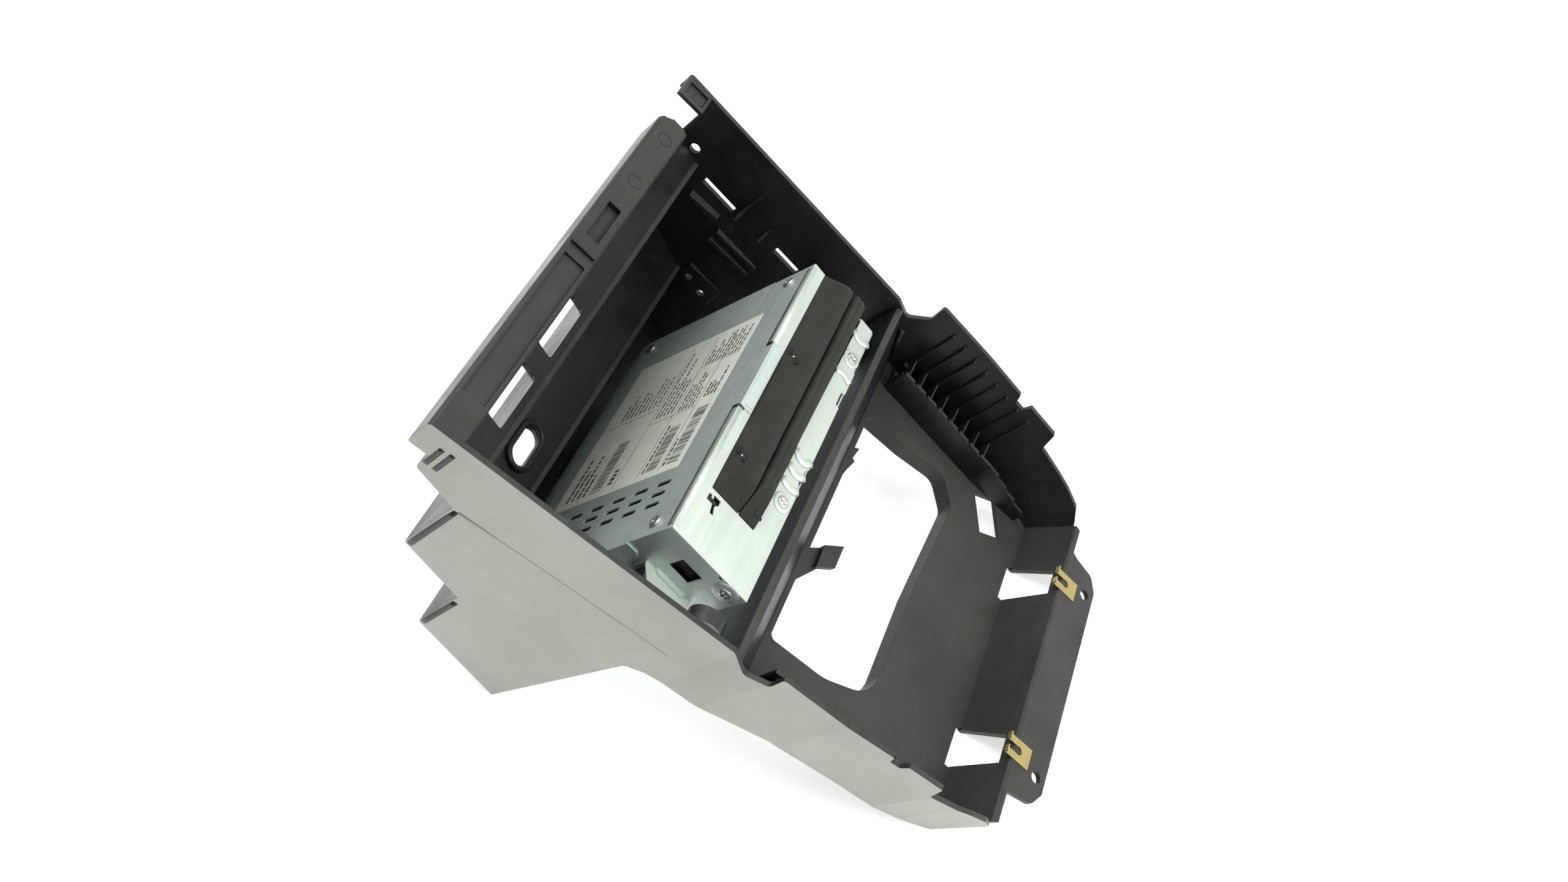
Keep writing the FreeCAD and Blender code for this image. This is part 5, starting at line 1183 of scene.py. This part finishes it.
@dataclass
class CaseScrews:
    """Pan heads with cross recesses that close the case.

    Attributes:
        radius_mm: Radius of a head.
        height_mm: Height of a head.
        recess_mm: Depth of the cross.
        steps: Corners of a ring.
        head_rings: Rings of the head, as shares of its radius and of its height.
        cross_waist: Share of the radius where the cross is narrow.
        cross_arm: How much further its arms reach.
        cross_mouth: Stretch of the cross at the head's top.
        cross_floor: Stretch of the cross at its floor.
        side_mm: Distance of the cover's screws from the middle.
        cover_depths_mm: Depths of the cover's screws.
        cover_turn: Rotation of the cover's crosses, to which the depth is added.
        front_places_mm: Widths and levels of the front plate's screws.
        side_place_mm: Depth and level of the screw on each side.
    """

    radius_mm: float = 3.2
    height_mm: float = 1.5
    recess_mm: float = 0.9
    steps: int = 32
    head_rings: Outline = ((1.0, 0.0), (1.0, 0.3), (0.94, 0.62), (0.78, 0.88))
    cross_waist: float = 0.2
    cross_arm: float = 0.36
    cross_mouth: float = 1.12
    cross_floor: float = 0.85
    side_mm: float = 81.6
    cover_depths_mm: Pair = (14.6, 118.0)
    cover_turn: float = 0.4
    front_places_mm: Outline = ((-35.4, -42.09), (63.2, -42.09))
    side_place_mm: Pair = (5.7, -39.7)

    def ring(self, reach: float, level: float, crossed: bool) -> list[Vector]:
        """One ring of a head.

        Args:
            reach: Share of the radius.
            level: Share of the height.
            crossed: Whether the ring has the cross's shape.

        Returns:
            Its corners.
        """
        corners = []
        for step in range(self.steps):
            angle = math.tau * (step + 0.5) / self.steps
            arm = self.cross_waist + self.cross_arm * abs(math.cos(2 * angle)) ** 3
            radius = self.radius_mm * reach * (arm if crossed else 1.0)
            corners.append(millimetres(radius * math.cos(angle), radius * math.sin(angle),
                                       self.height_mm * level))
        return corners

    def head(self) -> bpy.types.Mesh:
        """One head with its cross, standing on the origin.

        Returns:
            The mesh.
        """
        rings = [self.ring(reach, level, False) for reach, level in self.head_rings]
        rings.append(self.ring(self.cross_mouth, 1.0, True))
        rings.append(self.ring(self.cross_floor, 1.0 - self.recess_mm / self.height_mm, True))
        return loft_mesh("screw_head", rings)

    def marks(self) -> list[Mark]:
        """Where the screws stand, in the unit's frame.

        Returns:
            The marks.
        """
        quarter = math.pi / 2
        found = [Mark(millimetres(side.value * self.side_mm, depth, 0), turn=(0, 0, self.cover_turn + depth))
                 for side in Side for depth in self.cover_depths_mm]
        found += [Mark(millimetres(x, 0, z), turn=(quarter, 0, 0)) for x, z in self.front_places_mm]
        found += [Mark(millimetres(side.value * Design.half_case_mm, *self.side_place_mm),
                       turn=(0, side.value * quarter, 0)) for side in Side]
        return found

    def build(self, shop: Workshop) -> None:
        """Adds the screws in place of the plain heads."""
        shop.stamp_on_unit("case_screw_heads", self.marks(), self.head(), "screw_steel",
                           stands_for=("case_screws",))


@dataclass
class SlotMouth:
    """Felt mouth of the disc slot: two soft lips with a long slit between them.

    Attributes:
        left_mm: Left end of the lips, against the plate.
        right_mm: Right end of the lips.
        bevel_mm: How much further right the left end lies at the front of the lips.
        reach_mm: How far the lips stand out.
        upper: Depth and level of the upper lip's outline.
        lower: Depth and level of the lower lip's outline, with its worn shelf.
        stations: Number of sections along the lips.
        pull_mm: How far the end sections are drawn back.
        wave_mm: How far the slit's edges wander.
        wave_rates: Steps in the noise field for each millimetre of width and of level.
        wave_depth: Share of the wander that also goes into the depth.
        slit_mm: Width and thickness of a short slit in the upper lip.
        slit_turn: Rotation of the slits about the upper lip's face.
        slits_mm: Place and length of each slit.
        end_holes_mm: Depth, level, width and height of the holes in the left end.
        end_hole_mm: Length of those holes.
        pins_mm: Places of the small pins in the upper lip.
        pin: Radius and height of each ring of a pin.
    """

    left_mm: float = -59.0
    right_mm: float = 89.0
    bevel_mm: float = 15.0
    reach_mm: float = 7.4
    upper: Outline = (
        (0.0, -7.5), (-0.3, -9.0), (-3.2, -13.0), (-6.1, -16.9), (-6.9, -18.6), (-7.0, -21.0),
        (-6.6, -23.3), (-4.0, -24.1), (0.0, -24.1))
    lower: Outline = (
        (0.0, -24.9), (-4.5, -24.7), (-7.3, -25.0), (-7.8, -26.0), (-7.1, -27.2), (-7.8, -28.6),
        (-7.4, -30.4), (-6.2, -32.7), (-3.0, -34.2), (0.0, -35.0))
    stations: int = 64
    pull_mm: float = 0.35
    wave_mm: float = 0.35
    wave_rates: Pair = (0.07, 0.15)
    wave_depth: float = 0.5
    slit_mm: Pair = (1.0, 0.8)
    slit_turn: float = 0.06
    slits_mm: tuple[Four, ...] = (
        (32.3, -1.2, -9.8, 4.2), (27.6, -3.9, -13.5, 4.2), (-33.8, -1.3, -10.0, 4.6),
        (-37.2, -3.6, -13.0, 4.6))
    end_holes_mm: tuple[Four, ...] = ((-2.6, -22.4, 1.6, 1.2), (-3.0, -32.4, 3.4, 2.2))
    end_hole_mm: float = 0.5
    pins_mm: tuple[Triple, ...] = ((30.1, -2.2, -11.9), (-36.2, -2.3, -12.0))
    pin: Outline = ((0.62, -0.4), (0.62, 0.35), (0.45, 0.6), (0.1, 0.66))

    def softened(self, outline: Outline) -> list[Pair]:
        """Cuts the outline's corners off twice, but not those against the plate.

        Args:
            outline: Section of a lip.

        Returns:
            The softened section.
        """
        points = list(outline)
        for _ in range(2):
            cut = [points[0]]
            for before, after in zip(points, points[1:]):
                for share in (0.25, 0.75):
                    cut.append(tuple(a + (b - a) * share for a, b in zip(before, after)))
            cut.append(points[-1])
            points = cut
        return points

    def lip(self, name: str, outline: Outline, row: float) -> bpy.types.Mesh:
        """One lip as a soft strip with slightly wandering edges.

        Args:
            name: Name of the mesh.
            outline: Section of the lip.
            row: Row of the noise field that the lip wanders by.

        Returns:
            The mesh.
        """
        section = self.softened(outline)
        across, along = self.wave_rates
        rings = []
        for station in range(self.stations + 1):
            share = station / self.stations
            end = min(share, 1 - share) * self.stations
            pull = self.pull_mm * max(0.0, 1 - end)
            ring = []
            for y, z in section:
                depth = -y / self.reach_mm
                left = self.left_mm + self.bevel_mm * depth
                x = left + (self.right_mm - left) * share
                shift = noise.noise(Vector((x * across, row, z * along))) * self.wave_mm * depth
                ring.append(millimetres(x, y + shift * self.wave_depth + pull * depth, z + shift))
            rings.append(ring)
        return loft_mesh(name, rings)

    def slope(self) -> float:
        """Angle of the upper lip's slanted face, in radians."""
        (top_depth, top), (foot_depth, foot) = self.upper[1], self.upper[3]
        return math.atan2(top - foot, top_depth - foot_depth)

    def cuts(self) -> list[Mark]:
        """Dark blocks of painted shadow for the short slits in the upper lip and the holes in the left end.

        Returns:
            The marks.
        """
        found = [Mark(millimetres(x, y, z), (length, *self.slit_mm), (self.slope(), 0, self.slit_turn))
                 for x, y, z, length in self.slits_mm]
        bevel = math.atan2(self.bevel_mm, self.reach_mm)
        found += [Mark(millimetres(self.left_mm - self.bevel_mm * y / self.reach_mm, y, z),
                       (self.end_hole_mm, wide, tall), (0, 0, bevel))
                  for y, z, wide, tall in self.end_holes_mm]
        return found

    def build(self, shop: Workshop) -> None:
        """Adds both lips, the painted shadows of their slits and the small pins that show through.

        Args:
            shop: Where the pieces are added.
        """
        for name, outline, row, solid in (("slot_felt_upper", self.upper, 0.3, "slot_upper_lip"),
                                          ("slot_felt_lower", self.lower, 4.7, "slot_lower_lip")):
            shop.add(name, self.lip(name, outline, row), "felt", shop.unit, (solid,))
        # Painted shadow in the upper lip's slits and the left end's holes.
        shop.stamp_on_unit("slot_felt_slits", self.cuts(), block_mesh("slit"), "shadow_gap", MM)
        pins = [Mark(millimetres(*place), turn=(self.slope(), 0, 0)) for place in self.pins_mm]
        pin = dome_mesh("pin", Vector(), RIGHTWARD, -FRONTWARD, self.pin)
        shop.stamp_on_unit("slot_pins", pins, pin, "polished_steel")


@dataclass
class CasePressings:
    """Pressed domes, beads and folded edge of the case's sheet metal, with painted shadow in its gaps.

    Attributes:
        boss: Radius and height of each ring of a screw boss.
        side_dome: The same of the dome on the chassis's side.
        bead: Width and height of a stiffening bead.
        beads_mm: Width place and bend of each bead below the slot.
        bead_top_mm: Level where the beads start.
        bead_step_mm: Distance between a bead's points.
        bead_steps: Number of steps in a bead.
        seam_reach_mm: How far the seam reaches from the middle.
        seam_gap_mm: Depth, width and height of the painted shadow in the seam behind the fold.
        fold: Depth and level of the front plate's folded edge, that laps over the cover.
        tab_mm: Left and right end of the cover's tab, where the fold stops.
        tab_gap_mm: Width, depth and height of the painted shadow in the gap at each end of the tab.
        tab_gap_depth_mm: Depth of its middle.
        plate_gaps_mm: Width place, level, width and height of the painted shadows in the front plate's gaps.
        plate_gap_mm: Depth of their middle and thickness.
        sunk_mm: How deep a gap's foot lies in the cover.
    """

    boss: Outline = ((5.4, -0.05), (5.2, 0.3), (4.7, 0.55), (3.4, 0.62), (0.4, 0.62))
    side_dome: Outline = ((6.4, -0.05), (6.1, 0.3), (5.2, 0.6), (3.4, 0.72), (0.4, 0.72))
    bead: Pair = (4.4, 1.0)
    beads_mm: Outline = ((-9.4, 3.4), (-18.0, 2.6), (-26.4, 2.0), (51.6, -2.0), (76.5, 3.0))
    bead_top_mm: float = -36.4
    bead_step_mm: float = 1.8
    bead_steps: int = 6
    seam_reach_mm: float = 87.0
    seam_gap_mm: Triple = (3.8, 0.9, 0.12)
    fold: Outline = (
        (3.4, -0.05), (3.4, 0.16), (1.3, 0.16), (0.45, 0.02), (0.0, -0.5), (-0.16, -1.3), (-0.16, -2.4),
        (0.02, -2.6), (0.3, -0.6))
    tab_mm: Pair = (-14.6, 28.6)
    tab_gap_mm: Triple = (2.2, 3.6, 0.2)
    tab_gap_depth_mm: float = 2.2
    plate_gaps_mm: tuple[Four, ...] = (
        (-14.4, -3.2, 1.2, 3.2), (28.4, -3.2, 1.2, 3.2), (-64.3, -13.2, 2.0, 5.4), (-62.6, -9.4, 1.2, 1.6),
        (-51.3, -36.4, 1.0, 5.2))
    plate_gap_mm: Pair = (-0.06, 0.14)
    sunk_mm: float = 0.02

    def strip_bead(self, x_mm: float, bend_mm: float) -> bpy.types.Mesh:
        """A curved bead on the strip below the slot.

        Args:
            x_mm: Width place of its middle.
            bend_mm: How far its ends lie to the side.

        Returns:
            The mesh.
        """
        path = []
        for step in range(self.bead_steps + 1):
            aside = bend_mm * (2 * step / self.bead_steps - 1) ** 2
            path.append(millimetres(x_mm + aside, 0, self.bead_top_mm - step * self.bead_step_mm))
        return bead_mesh("strip_bead", path, FRONTWARD, half_round(*self.bead))

    def gaps(self, runs: tuple[Pair, ...]) -> list[Mark]:
        """Dark blocks of painted shadow in the gaps along the fold, beside the cover's tab and in the front
        plate.

        Args:
            runs: Left and right end of each length of the fold.

        Returns:
            The marks.
        """
        depth, width, height = self.seam_gap_mm
        found = [Mark(millimetres(sum(run) / 2, depth, -self.sunk_mm), (run[1] - run[0], width, height))
                 for run in runs]
        found += [Mark(millimetres(x, self.tab_gap_depth_mm, -self.sunk_mm), self.tab_gap_mm)
                  for x in self.tab_mm]
        depth, thick = self.plate_gap_mm
        found += [Mark(millimetres(x, depth, z), (wide, thick, tall))
                  for x, z, wide, tall in self.plate_gaps_mm]
        return found

    def build(self, shop: Workshop) -> None:
        """Adds the pressings in the unit's frame.

        Args:
            shop: Where the pieces are added.
        """
        meshes = [dome_mesh("boss", millimetres(x, 0, z), RIGHTWARD, UPWARD, self.boss)
                  for x, z in CaseScrews.front_places_mm]
        meshes += [self.strip_bead(x, bend) for x, bend in self.beads_mm]
        pressings = join_meshes("front_plate_pressings", meshes)
        shop.add("front_plate_pressings", pressings, "front_steel", shop.unit)
        foot = millimetres(-Design.half_case_mm, *CaseScrews.side_place_mm)
        side = dome_mesh("chassis_side_dome", foot, FRONTWARD, UPWARD, self.side_dome)
        shop.add("chassis_side_dome", side, "zinc_steel", shop.unit)
        runs = ((-self.seam_reach_mm, self.tab_mm[0]), (self.tab_mm[1], self.seam_reach_mm))
        folds = [loft_mesh("fold", [[millimetres(x, y, z) for y, z in self.fold] for x in run])
                 for run in runs]
        shop.add("front_plate_fold", join_meshes("front_plate_fold", folds), "front_steel", shop.unit)
        # Painted shadow in the seams, beside the tab and in the front plate's gaps.
        shop.stamp_on_unit("case_gaps", self.gaps(runs), block_mesh("gap"), "shadow_gap", MM)


@dataclass(frozen=True)
class Prism:
    """A straight block that is cut out of a moulding, in the console's frame.

    Attributes:
        outline: Width and level of its corners, in millimetres.
        front_mm: Depth where it starts.
        rear_mm: Depth where it ends.
    """

    outline: Outline
    front_mm: float
    rear_mm: float

    def mesh(self, lay: Lay) -> bpy.types.Mesh:
        """The block, laid down in the row's frame.

        Args:
            lay: Design frame of the block.

        Returns:
            The mesh.
        """
        rings = [[millimetres(x, depth, level) for x, level in self.outline]
                 for depth in (self.front_mm, self.rear_mm)]
        mesh = loft_mesh("prism", rings, smooth=False)
        mesh.transform(lay.matrix())
        return mesh


@dataclass
class TrimmedMouldings:
    """Mouldings whose solids are a little fuller than the real ones.

    Attributes:
        beam_gap: Gap between the beam's block and the post at its right-hand end.
        corner: Outline of the gap behind the post.
        corner_depths_mm: Depths of that gap in the beam and in the step below it.
        wall_depths_mm: Depths of that gap in the wall.
        ledge_mm: Inner face of a ledge: width and level of its upper and lower end.
        room_mm: Width where the room beside a ledge ends.
        room_front_mm: Depth where that room starts.
        past_mm: How far the room goes past the ledge's ends.
        clear_mm: Distance of the room from the ledge and from the plate.
        plate_mm: Depth of the floor plate's upper face.
        teeth: Teeth on a ledge's lower run.
        pitch_mm: Distance from tooth to tooth.
        fall_mm: Depth of the first tooth, and how much deeper each next one lies.
        tooth_mm: A tooth's outline: distance from its start and depth below it.
        ledge_wall_mm: Thickness of a ledge.
        ledge_lean: How much the lower run leans outwards for each step down.
        joint_mm: Overlap of the run with the plate and the upper ledge, along and into them.
    """

    beam_gap: Prism = Prism(((90.1, 87.0), (90.1, 96.5), (88.9, 100.5), (86.0, 103.5), (84.0, 112.0),
                             (110.4, 112.0), (110.2, 103.6), (105.9, 96.9), (105.9, 85.6)), -6.0, 90.0)
    corner: Outline = ((105.0, 86.0), (105.0, 112.0), (130.0, 112.0), (130.0, 86.0))
    corner_depths_mm: Pair = (2.2, 90.0)
    wall_depths_mm: Pair = (9.0, 28.0)
    ledge_mm: Outline = ((96.8, -79.0), (90.5, -148.0))
    room_mm: float = 84.0
    room_front_mm: float = -10.0
    past_mm: float = 2.0
    clear_mm: Pair = (0.05, 0.02)
    plate_mm: float = 34.2
    teeth: int = 4
    pitch_mm: float = 9.2
    fall_mm: Pair = (17.0, 2.7)
    tooth_mm: Outline = ((0.0, 0.0), (7.4, 1.0), (7.5, 2.2), (9.1, 2.6))
    ledge_wall_mm: float = 2.0
    ledge_lean: float = 0.02
    joint_mm: Pair = (0.3, 0.1)

    def cut(self, node: bpy.types.Object, blocks: list[Prism], lay: Lay) -> bpy.types.Mesh:
        """A copy of a solid with blocks taken out of it.

        Args:
            node: The solid.
            blocks: The blocks.
            lay: Design frame of the blocks.

        Returns:
            The trimmed mesh, in the row's frame.
        """
        form = bmesh.new()
        form.from_mesh(node.data)
        bmesh.ops.remove_doubles(form, verts=form.verts, dist=1e-6)
        copy = bpy.data.meshes.new(f"{node.name}_copy")
        form.to_mesh(copy)
        form.free()
        holder = linked_object(f"{node.name}_holder", copy)
        tools = [linked_object(f"{node.name}_block", block.mesh(lay)) for block in blocks]
        for tool in tools:
            modifier = holder.modifiers.new("trim", "BOOLEAN")
            modifier.operation = "DIFFERENCE"
            modifier.solver = "EXACT"
            modifier.object = tool
        result = baked_mesh(holder)
        result.shade_flat()
        holder.modifiers.clear()
        for item in (holder, *tools):
            bpy.data.objects.remove(item)
        return result

    def ledge_room(self, side: Side) -> Prism:
        """Room between a ledge and the lever opening, above the plate.

        Args:
            side: Side of the console.

        Returns:
            The block to take out.
        """
        (high_x, high), (low_x, low) = self.ledge_mm
        beside, above = self.clear_mm
        top = high + self.past_mm
        foot = low - self.past_mm
        corners = ((self.room_mm, top), (high_x - beside, top), (low_x - beside, foot), (self.room_mm, foot))
        outline = tuple((side.value * x, level) for x, level in corners)
        return Prism(outline, self.room_front_mm, self.plate_mm - above)

    def ledge_run(self, side: Side) -> bpy.types.Mesh:
        """Lower run of a ledge: a toothed wall that falls towards the end riser.

        Args:
            side: Side of the console.

        Returns:
            The mesh.
        """
        inner, low = self.ledge_mm[1]
        along, into = self.joint_mm
        first_fall, next_fall = self.fall_mm
        edge = []
        for tooth in range(self.teeth):
            start = low + along - tooth * self.pitch_mm
            fall = first_fall + tooth * next_fall
            edge += [(start - length, fall + depth) for length, depth in self.tooth_mm]
        foot = self.plate_mm + into
        outline = edge + [(edge[-1][0], foot), (low + along, foot)]
        rings = [[millimetres(side.value * (x + (low - level) * self.ledge_lean), depth, level)
                  for level, depth in outline] for x in (inner, inner + self.ledge_wall_mm)]
        return loft_mesh("ledge_run", rings, smooth=False)

    def build(self, shop: Workshop, nodes: dict[str, bpy.types.Object]) -> None:
        """Adds the trimmed mouldings in place of their solids.

        Args:
            shop: Where the pieces are added.
            nodes: Solids by name.
        """
        corner_gap = Prism(self.corner, *self.corner_depths_mm)
        wall_gap = Prism(self.corner, *self.wall_depths_mm)
        rooms = [self.ledge_room(side) for side in Side]
        for name, solid, blocks, slot in (
                ("trimmed_top_beam", "top_beam", [self.beam_gap, corner_gap], "console_plastic"),
                ("trimmed_upper_step", "upper_rear_step", [corner_gap], "console_plastic"),
                ("trimmed_right_wall", "right_side_wall", [wall_gap], "wall_plastic"),
                ("trimmed_floor_plate", "floor_plate", rooms, "console_plastic")):
            shop.add(name, self.cut(nodes[solid], blocks, shop.console), slot, stands_for=(solid,))
        runs = join_meshes("ledge_runs", [self.ledge_run(side) for side in Side])
        shop.add("ledge_runs", runs, "console_plastic", shop.console)


@dataclass
class MouldingMarks:
    """Rims, dark strips of painted shade, a crease, a round rib and ejector marks of the console moulding.

    Attributes:
        ring_radius_mm: Radius of an ejector mark.
        ring: Width and height of its rim.
        rings_mm: Places of the ejector marks.
        rim: Width and height of the rim round the long hole in the rear wall.
        hole_mm: Middle of that hole: width and level.
        hole_radius_mm: Radius of its round ends.
        hole_stretch_mm: Half of its straight part's length.
        rim_gap_mm: Distance of the rim from the hole.
        slant: How much the rear wall comes forward for each step up.
        slant_mm: Level and depth of a point on the rear wall's face.
        wall_mm: Level and width of a point on the left wall's outside.
        wall_lean: How much that wall comes out for each step up.
        painted_shade_band: Width and height of the dark strips of painted shade on the left wall.
        painted_shade_bands_mm: First and last depth, level and inset of each strip.
        painted_shade_band_steps: Steps in a strip.
        crease: Width and height of the crease on the left wall.
        crease_mm: Points of the crease.
        rib: Width and height of the round rib on the right wall.
        rib_mm: Points of that rib.
    """

    ring_radius_mm: float = 3.5
    ring: Pair = (0.5, 0.18)
    rings_mm: tuple[Triple, ...] = ((75.8, -1.0, 94.1), (41.5, -1.0, 93.7), (116.5, 1.3, 91.8))
    rim: Pair = (3.6, 2.6)
    hole_mm: Pair = (-43.0, 49.5)
    hole_radius_mm: float = 5.0
    hole_stretch_mm: float = 5.5
    rim_gap_mm: float = 0.2
    slant: float = 0.374
    slant_mm: Pair = (70.0, 79.223)
    wall_mm: Pair = (86.7, -124.5)
    wall_lean: float = 0.06
    painted_shade_band: Pair = (2.6, 0.16)
    painted_shade_bands_mm: tuple[Four, ...] = (
        (9.0, 23.5, 91.2, 0.0), (8.0, 23.5, 86.8, 0.0), (38.5, 80.0, 67.8, 0.1), (100.0, 131.0, 33.2, 1.2))
    painted_shade_band_steps: int = 8
    crease: Pair = (1.6, 0.22)
    crease_mm: tuple[Triple, ...] = (
        (-123.3, 37.9, 67.0), (-121.9, 36.4, 43.1), (-120.4, 34.6, 17.9), (-118.9, 33.3, -8.8),
        (-117.2, 31.9, -37.5))
    rib: Pair = (3.0, 2.2)
    rib_mm: tuple[Triple, ...] = ((115.6, 13.0, -64.6), (115.2, 22.0, -69.2), (114.6, 30.3, -73.0))

    def ejector_marks(self) -> bpy.types.Mesh:
        """Thin raised rings on the beam and in the recess at its right-hand end.

        Returns:
            The mesh.
        """
        paths = [round_path(millimetres(*place), RIGHTWARD, UPWARD, self.ring_radius_mm)
                 for place in self.rings_mm]
        rings = [bead_mesh("ejector_mark", path, FRONTWARD, half_round(*self.ring), True) for path in paths]
        return join_meshes("ejector_marks", rings)

    def hole_rim(self) -> bpy.types.Mesh:
        """Rounded rim of the long hole, on the slanted rear wall.

        Returns:
            The mesh.
        """
        along = Vector((0, -self.slant, 1)).normalized()
        outward = Vector((0, -1, -self.slant)).normalized()
        x, level = self.hole_mm
        known_level, known_depth = self.slant_mm
        centre = millimetres(x, known_depth - self.slant * (level - known_level), level)
        radius = self.hole_radius_mm + self.rim[0] / 2 + self.rim_gap_mm
        path = round_path(centre, RIGHTWARD, along, radius, self.hole_stretch_mm, 48)
        return bead_mesh("long_hole_rim", path, outward, half_round(*self.rim), True)

    def painted_shade_bands(self) -> bpy.types.Mesh:
        """Dark strips of painted shade below the steps' upper edges.

        Returns:
            The mesh.
        """
        known_level, known_x = self.wall_mm
        meshes = []
        # Each strip is plain charcoal on the pale wall: painted shade where a rounded edge turns away from
        # the light.
        for first, last, level, inset in self.painted_shade_bands_mm:
            x = known_x - (level - known_level) * self.wall_lean + inset
            path = [millimetres(x, first + (last - first) * step / self.painted_shade_band_steps, level)
                    for step in range(self.painted_shade_band_steps + 1)]
            meshes.append(bead_mesh("step_groove", path, LEFTWARD, half_round(*self.painted_shade_band)))
        return join_meshes("step_grooves", meshes)

    def line(self, name: str, points: tuple[Triple, ...], section: Pair) -> bpy.types.Mesh:
        """A bead that looks left and runs through a few points.

        Args:
            name: Name of the mesh.
            points: Its points, in millimetres.
            section: Its width and height.

        Returns:
            The mesh.
        """
        return bead_mesh(name, [millimetres(*point) for point in points], LEFTWARD, half_round(*section))

    def build(self, shop: Workshop) -> None:
        """Adds the marks in the console's frame.

        Args:
            shop: Where the pieces are added.
        """
        crease = self.line("wall_crease", self.crease_mm, self.crease)
        rib = self.line("wall_rib", self.rib_mm, self.rib)
        for name, mesh, slot in (("ejector_marks", self.ejector_marks(), "console_plastic"),
                                 ("long_hole_rim", self.hole_rim(), "console_plastic"),
                                 ("step_grooves", self.painted_shade_bands(), "console_plastic"),
                                 ("left_wall_crease", crease, "wall_plastic"),
                                 ("right_wall_round_rib", rib, "console_plastic")):
            shop.add(name, mesh, slot, shop.console)


@dataclass(frozen=True)
class PhotoCamera:
    """Camera that stands where the photograph was taken.

    Attributes:
        place: Its place.
        forward: Where it looks.
        up: Its own upward direction.
        focal_px: Focal length in pixels of the photograph.
        width_px: Width of the photograph.
        sensor_mm: Width of the sensor.
        near: Distance from which it sees.
    """

    place: Triple = (-0.41805, -0.0601, 0.58815)
    forward: Triple = (0.6526, 0.1281, -0.7468)
    up: Triple = (0.6777, 0.3421, 0.6509)
    focal_px: float = 2285.15
    width_px: float = 2560.0
    sensor_mm: float = 36.0
    near: float = 0.01

    def build(self) -> None:
        """Makes the camera and gives it to the scene."""
        data = bpy.data.cameras.new("photo_camera")
        data.sensor_width = self.sensor_mm
        data.lens = self.focal_px / self.width_px * self.sensor_mm
        data.clip_start = self.near
        back = -Vector(self.forward).normalized()
        right = Vector(self.up).cross(back).normalized()
        turn = Matrix((right, back.cross(right), back)).transposed().to_4x4()
        camera = linked_object("photo_camera", data)
        camera.matrix_world = Matrix.Translation(Vector(self.place)) @ turn
        bpy.context.scene.camera = camera
        LOG.info("camera lens %.2f mm", data.lens)


@dataclass(frozen=True)
class SoftLight:
    """A round soft light that looks at the object.

    Attributes:
        name: Its name.
        place: Its place.
        size: Its width.
        power: Its power in watts.
        target: Where it looks.
    """

    name: str
    place: Triple
    size: float
    power: float
    target: Triple = (0.0, 0.0, 0.08)

    def build(self) -> None:
        """Makes the light."""
        data = bpy.data.lights.new(self.name, "AREA")
        data.shape = "DISK"
        data.size = self.size
        data.energy = self.power
        lamp = linked_object(self.name, data)
        lamp.location = self.place
        lamp.rotation_euler = (Vector(self.target) - lamp.location).to_track_quat("-Z", "Y").to_euler()


@dataclass
class Studio:
    """Pale floor and soft light.

    Attributes:
        floor_half: Half of the floor's width.
        floor_tones: Darkest and lightest colour of the floor.
        floor_glow: Light that the floor gives of itself, as a light table does.
        sky: Strength of the even light all round.
        lights: The soft lights.
    """

    floor_half: float = 3.0
    floor_tones: tuple[Triple, Triple] = ((0.86, 0.86, 0.85), (0.9, 0.9, 0.9))
    floor_glow: float = 0.62
    sky: float = 0.62
    lights: tuple[SoftLight, ...] = (
        SoftLight("overhead_softbox", (0.15, 0.35, 1.5), 1.2, 14.0),
        SoftLight("front_softbox", (-0.2, -1.3, 0.9), 0.8, 12.0),
    )

    def floor(self) -> None:
        """Makes the floor."""
        half = self.floor_half
        mesh = bpy.data.meshes.new("studio_floor")
        mesh.from_pydata([(-half, -half, 0), (half, -half, 0), (half, half, 0), (-half, half, 0)], [],
                         [(0, 1, 2, 3)])
        shade = Shade("pale floor")
        uneven = shade.noise(shade.place(), Pattern(3.0, 3.0))
        dark, light = self.floor_tones
        shade.feed(Base_Color=shade.ramp(uneven, [(0.3, dark), (0.7, light)]))
        shade.set(Roughness=0.8, Emission_Color=(1, 1, 0.99, 1), Emission_Strength=self.floor_glow)
        mesh.materials.append(shade.material)
        floor = linked_object("studio_floor", mesh)

    def build(self) -> None:
        """Makes the floor, the surroundings and the lights."""
        self.floor()
        world = bpy.data.worlds.new("studio")
        world.use_nodes = True
        background = world.node_tree.nodes["Background"]
        background.inputs["Color"].default_value = (1, 1, 1, 1)
        background.inputs["Strength"].default_value = self.sky
        bpy.context.scene.world = world
        bpy.context.scene.view_settings.view_transform = "Standard"
        for light in self.lights:
            light.build()
        LOG.info("studio with %d lights", len(self.lights))


def main() -> None:
    """Builds the looks in order."""
    logging.basicConfig(level=logging.INFO, format="%(name)s: %(message)s")
    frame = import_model()
    design = Design()
    unit = design.unit_lay()
    body = frame["record"]["behaviour"]["joints"][0]["parent"]
    shop = Workshop(unit, unit.pitched(design.unit_pitch), body)
    shop.wardrobe.dress(frame["nodes"], frame["record"])
    for assembly in (LabelPrint(), CaseScrews(), SlotMouth(), CasePressings(), MouldingMarks()):
        assembly.build(shop)
    TrimmedMouldings().build(shop, frame["nodes"])
    PhotoCamera().build()
    Studio().build()


if __name__ == "__main__":
    main()
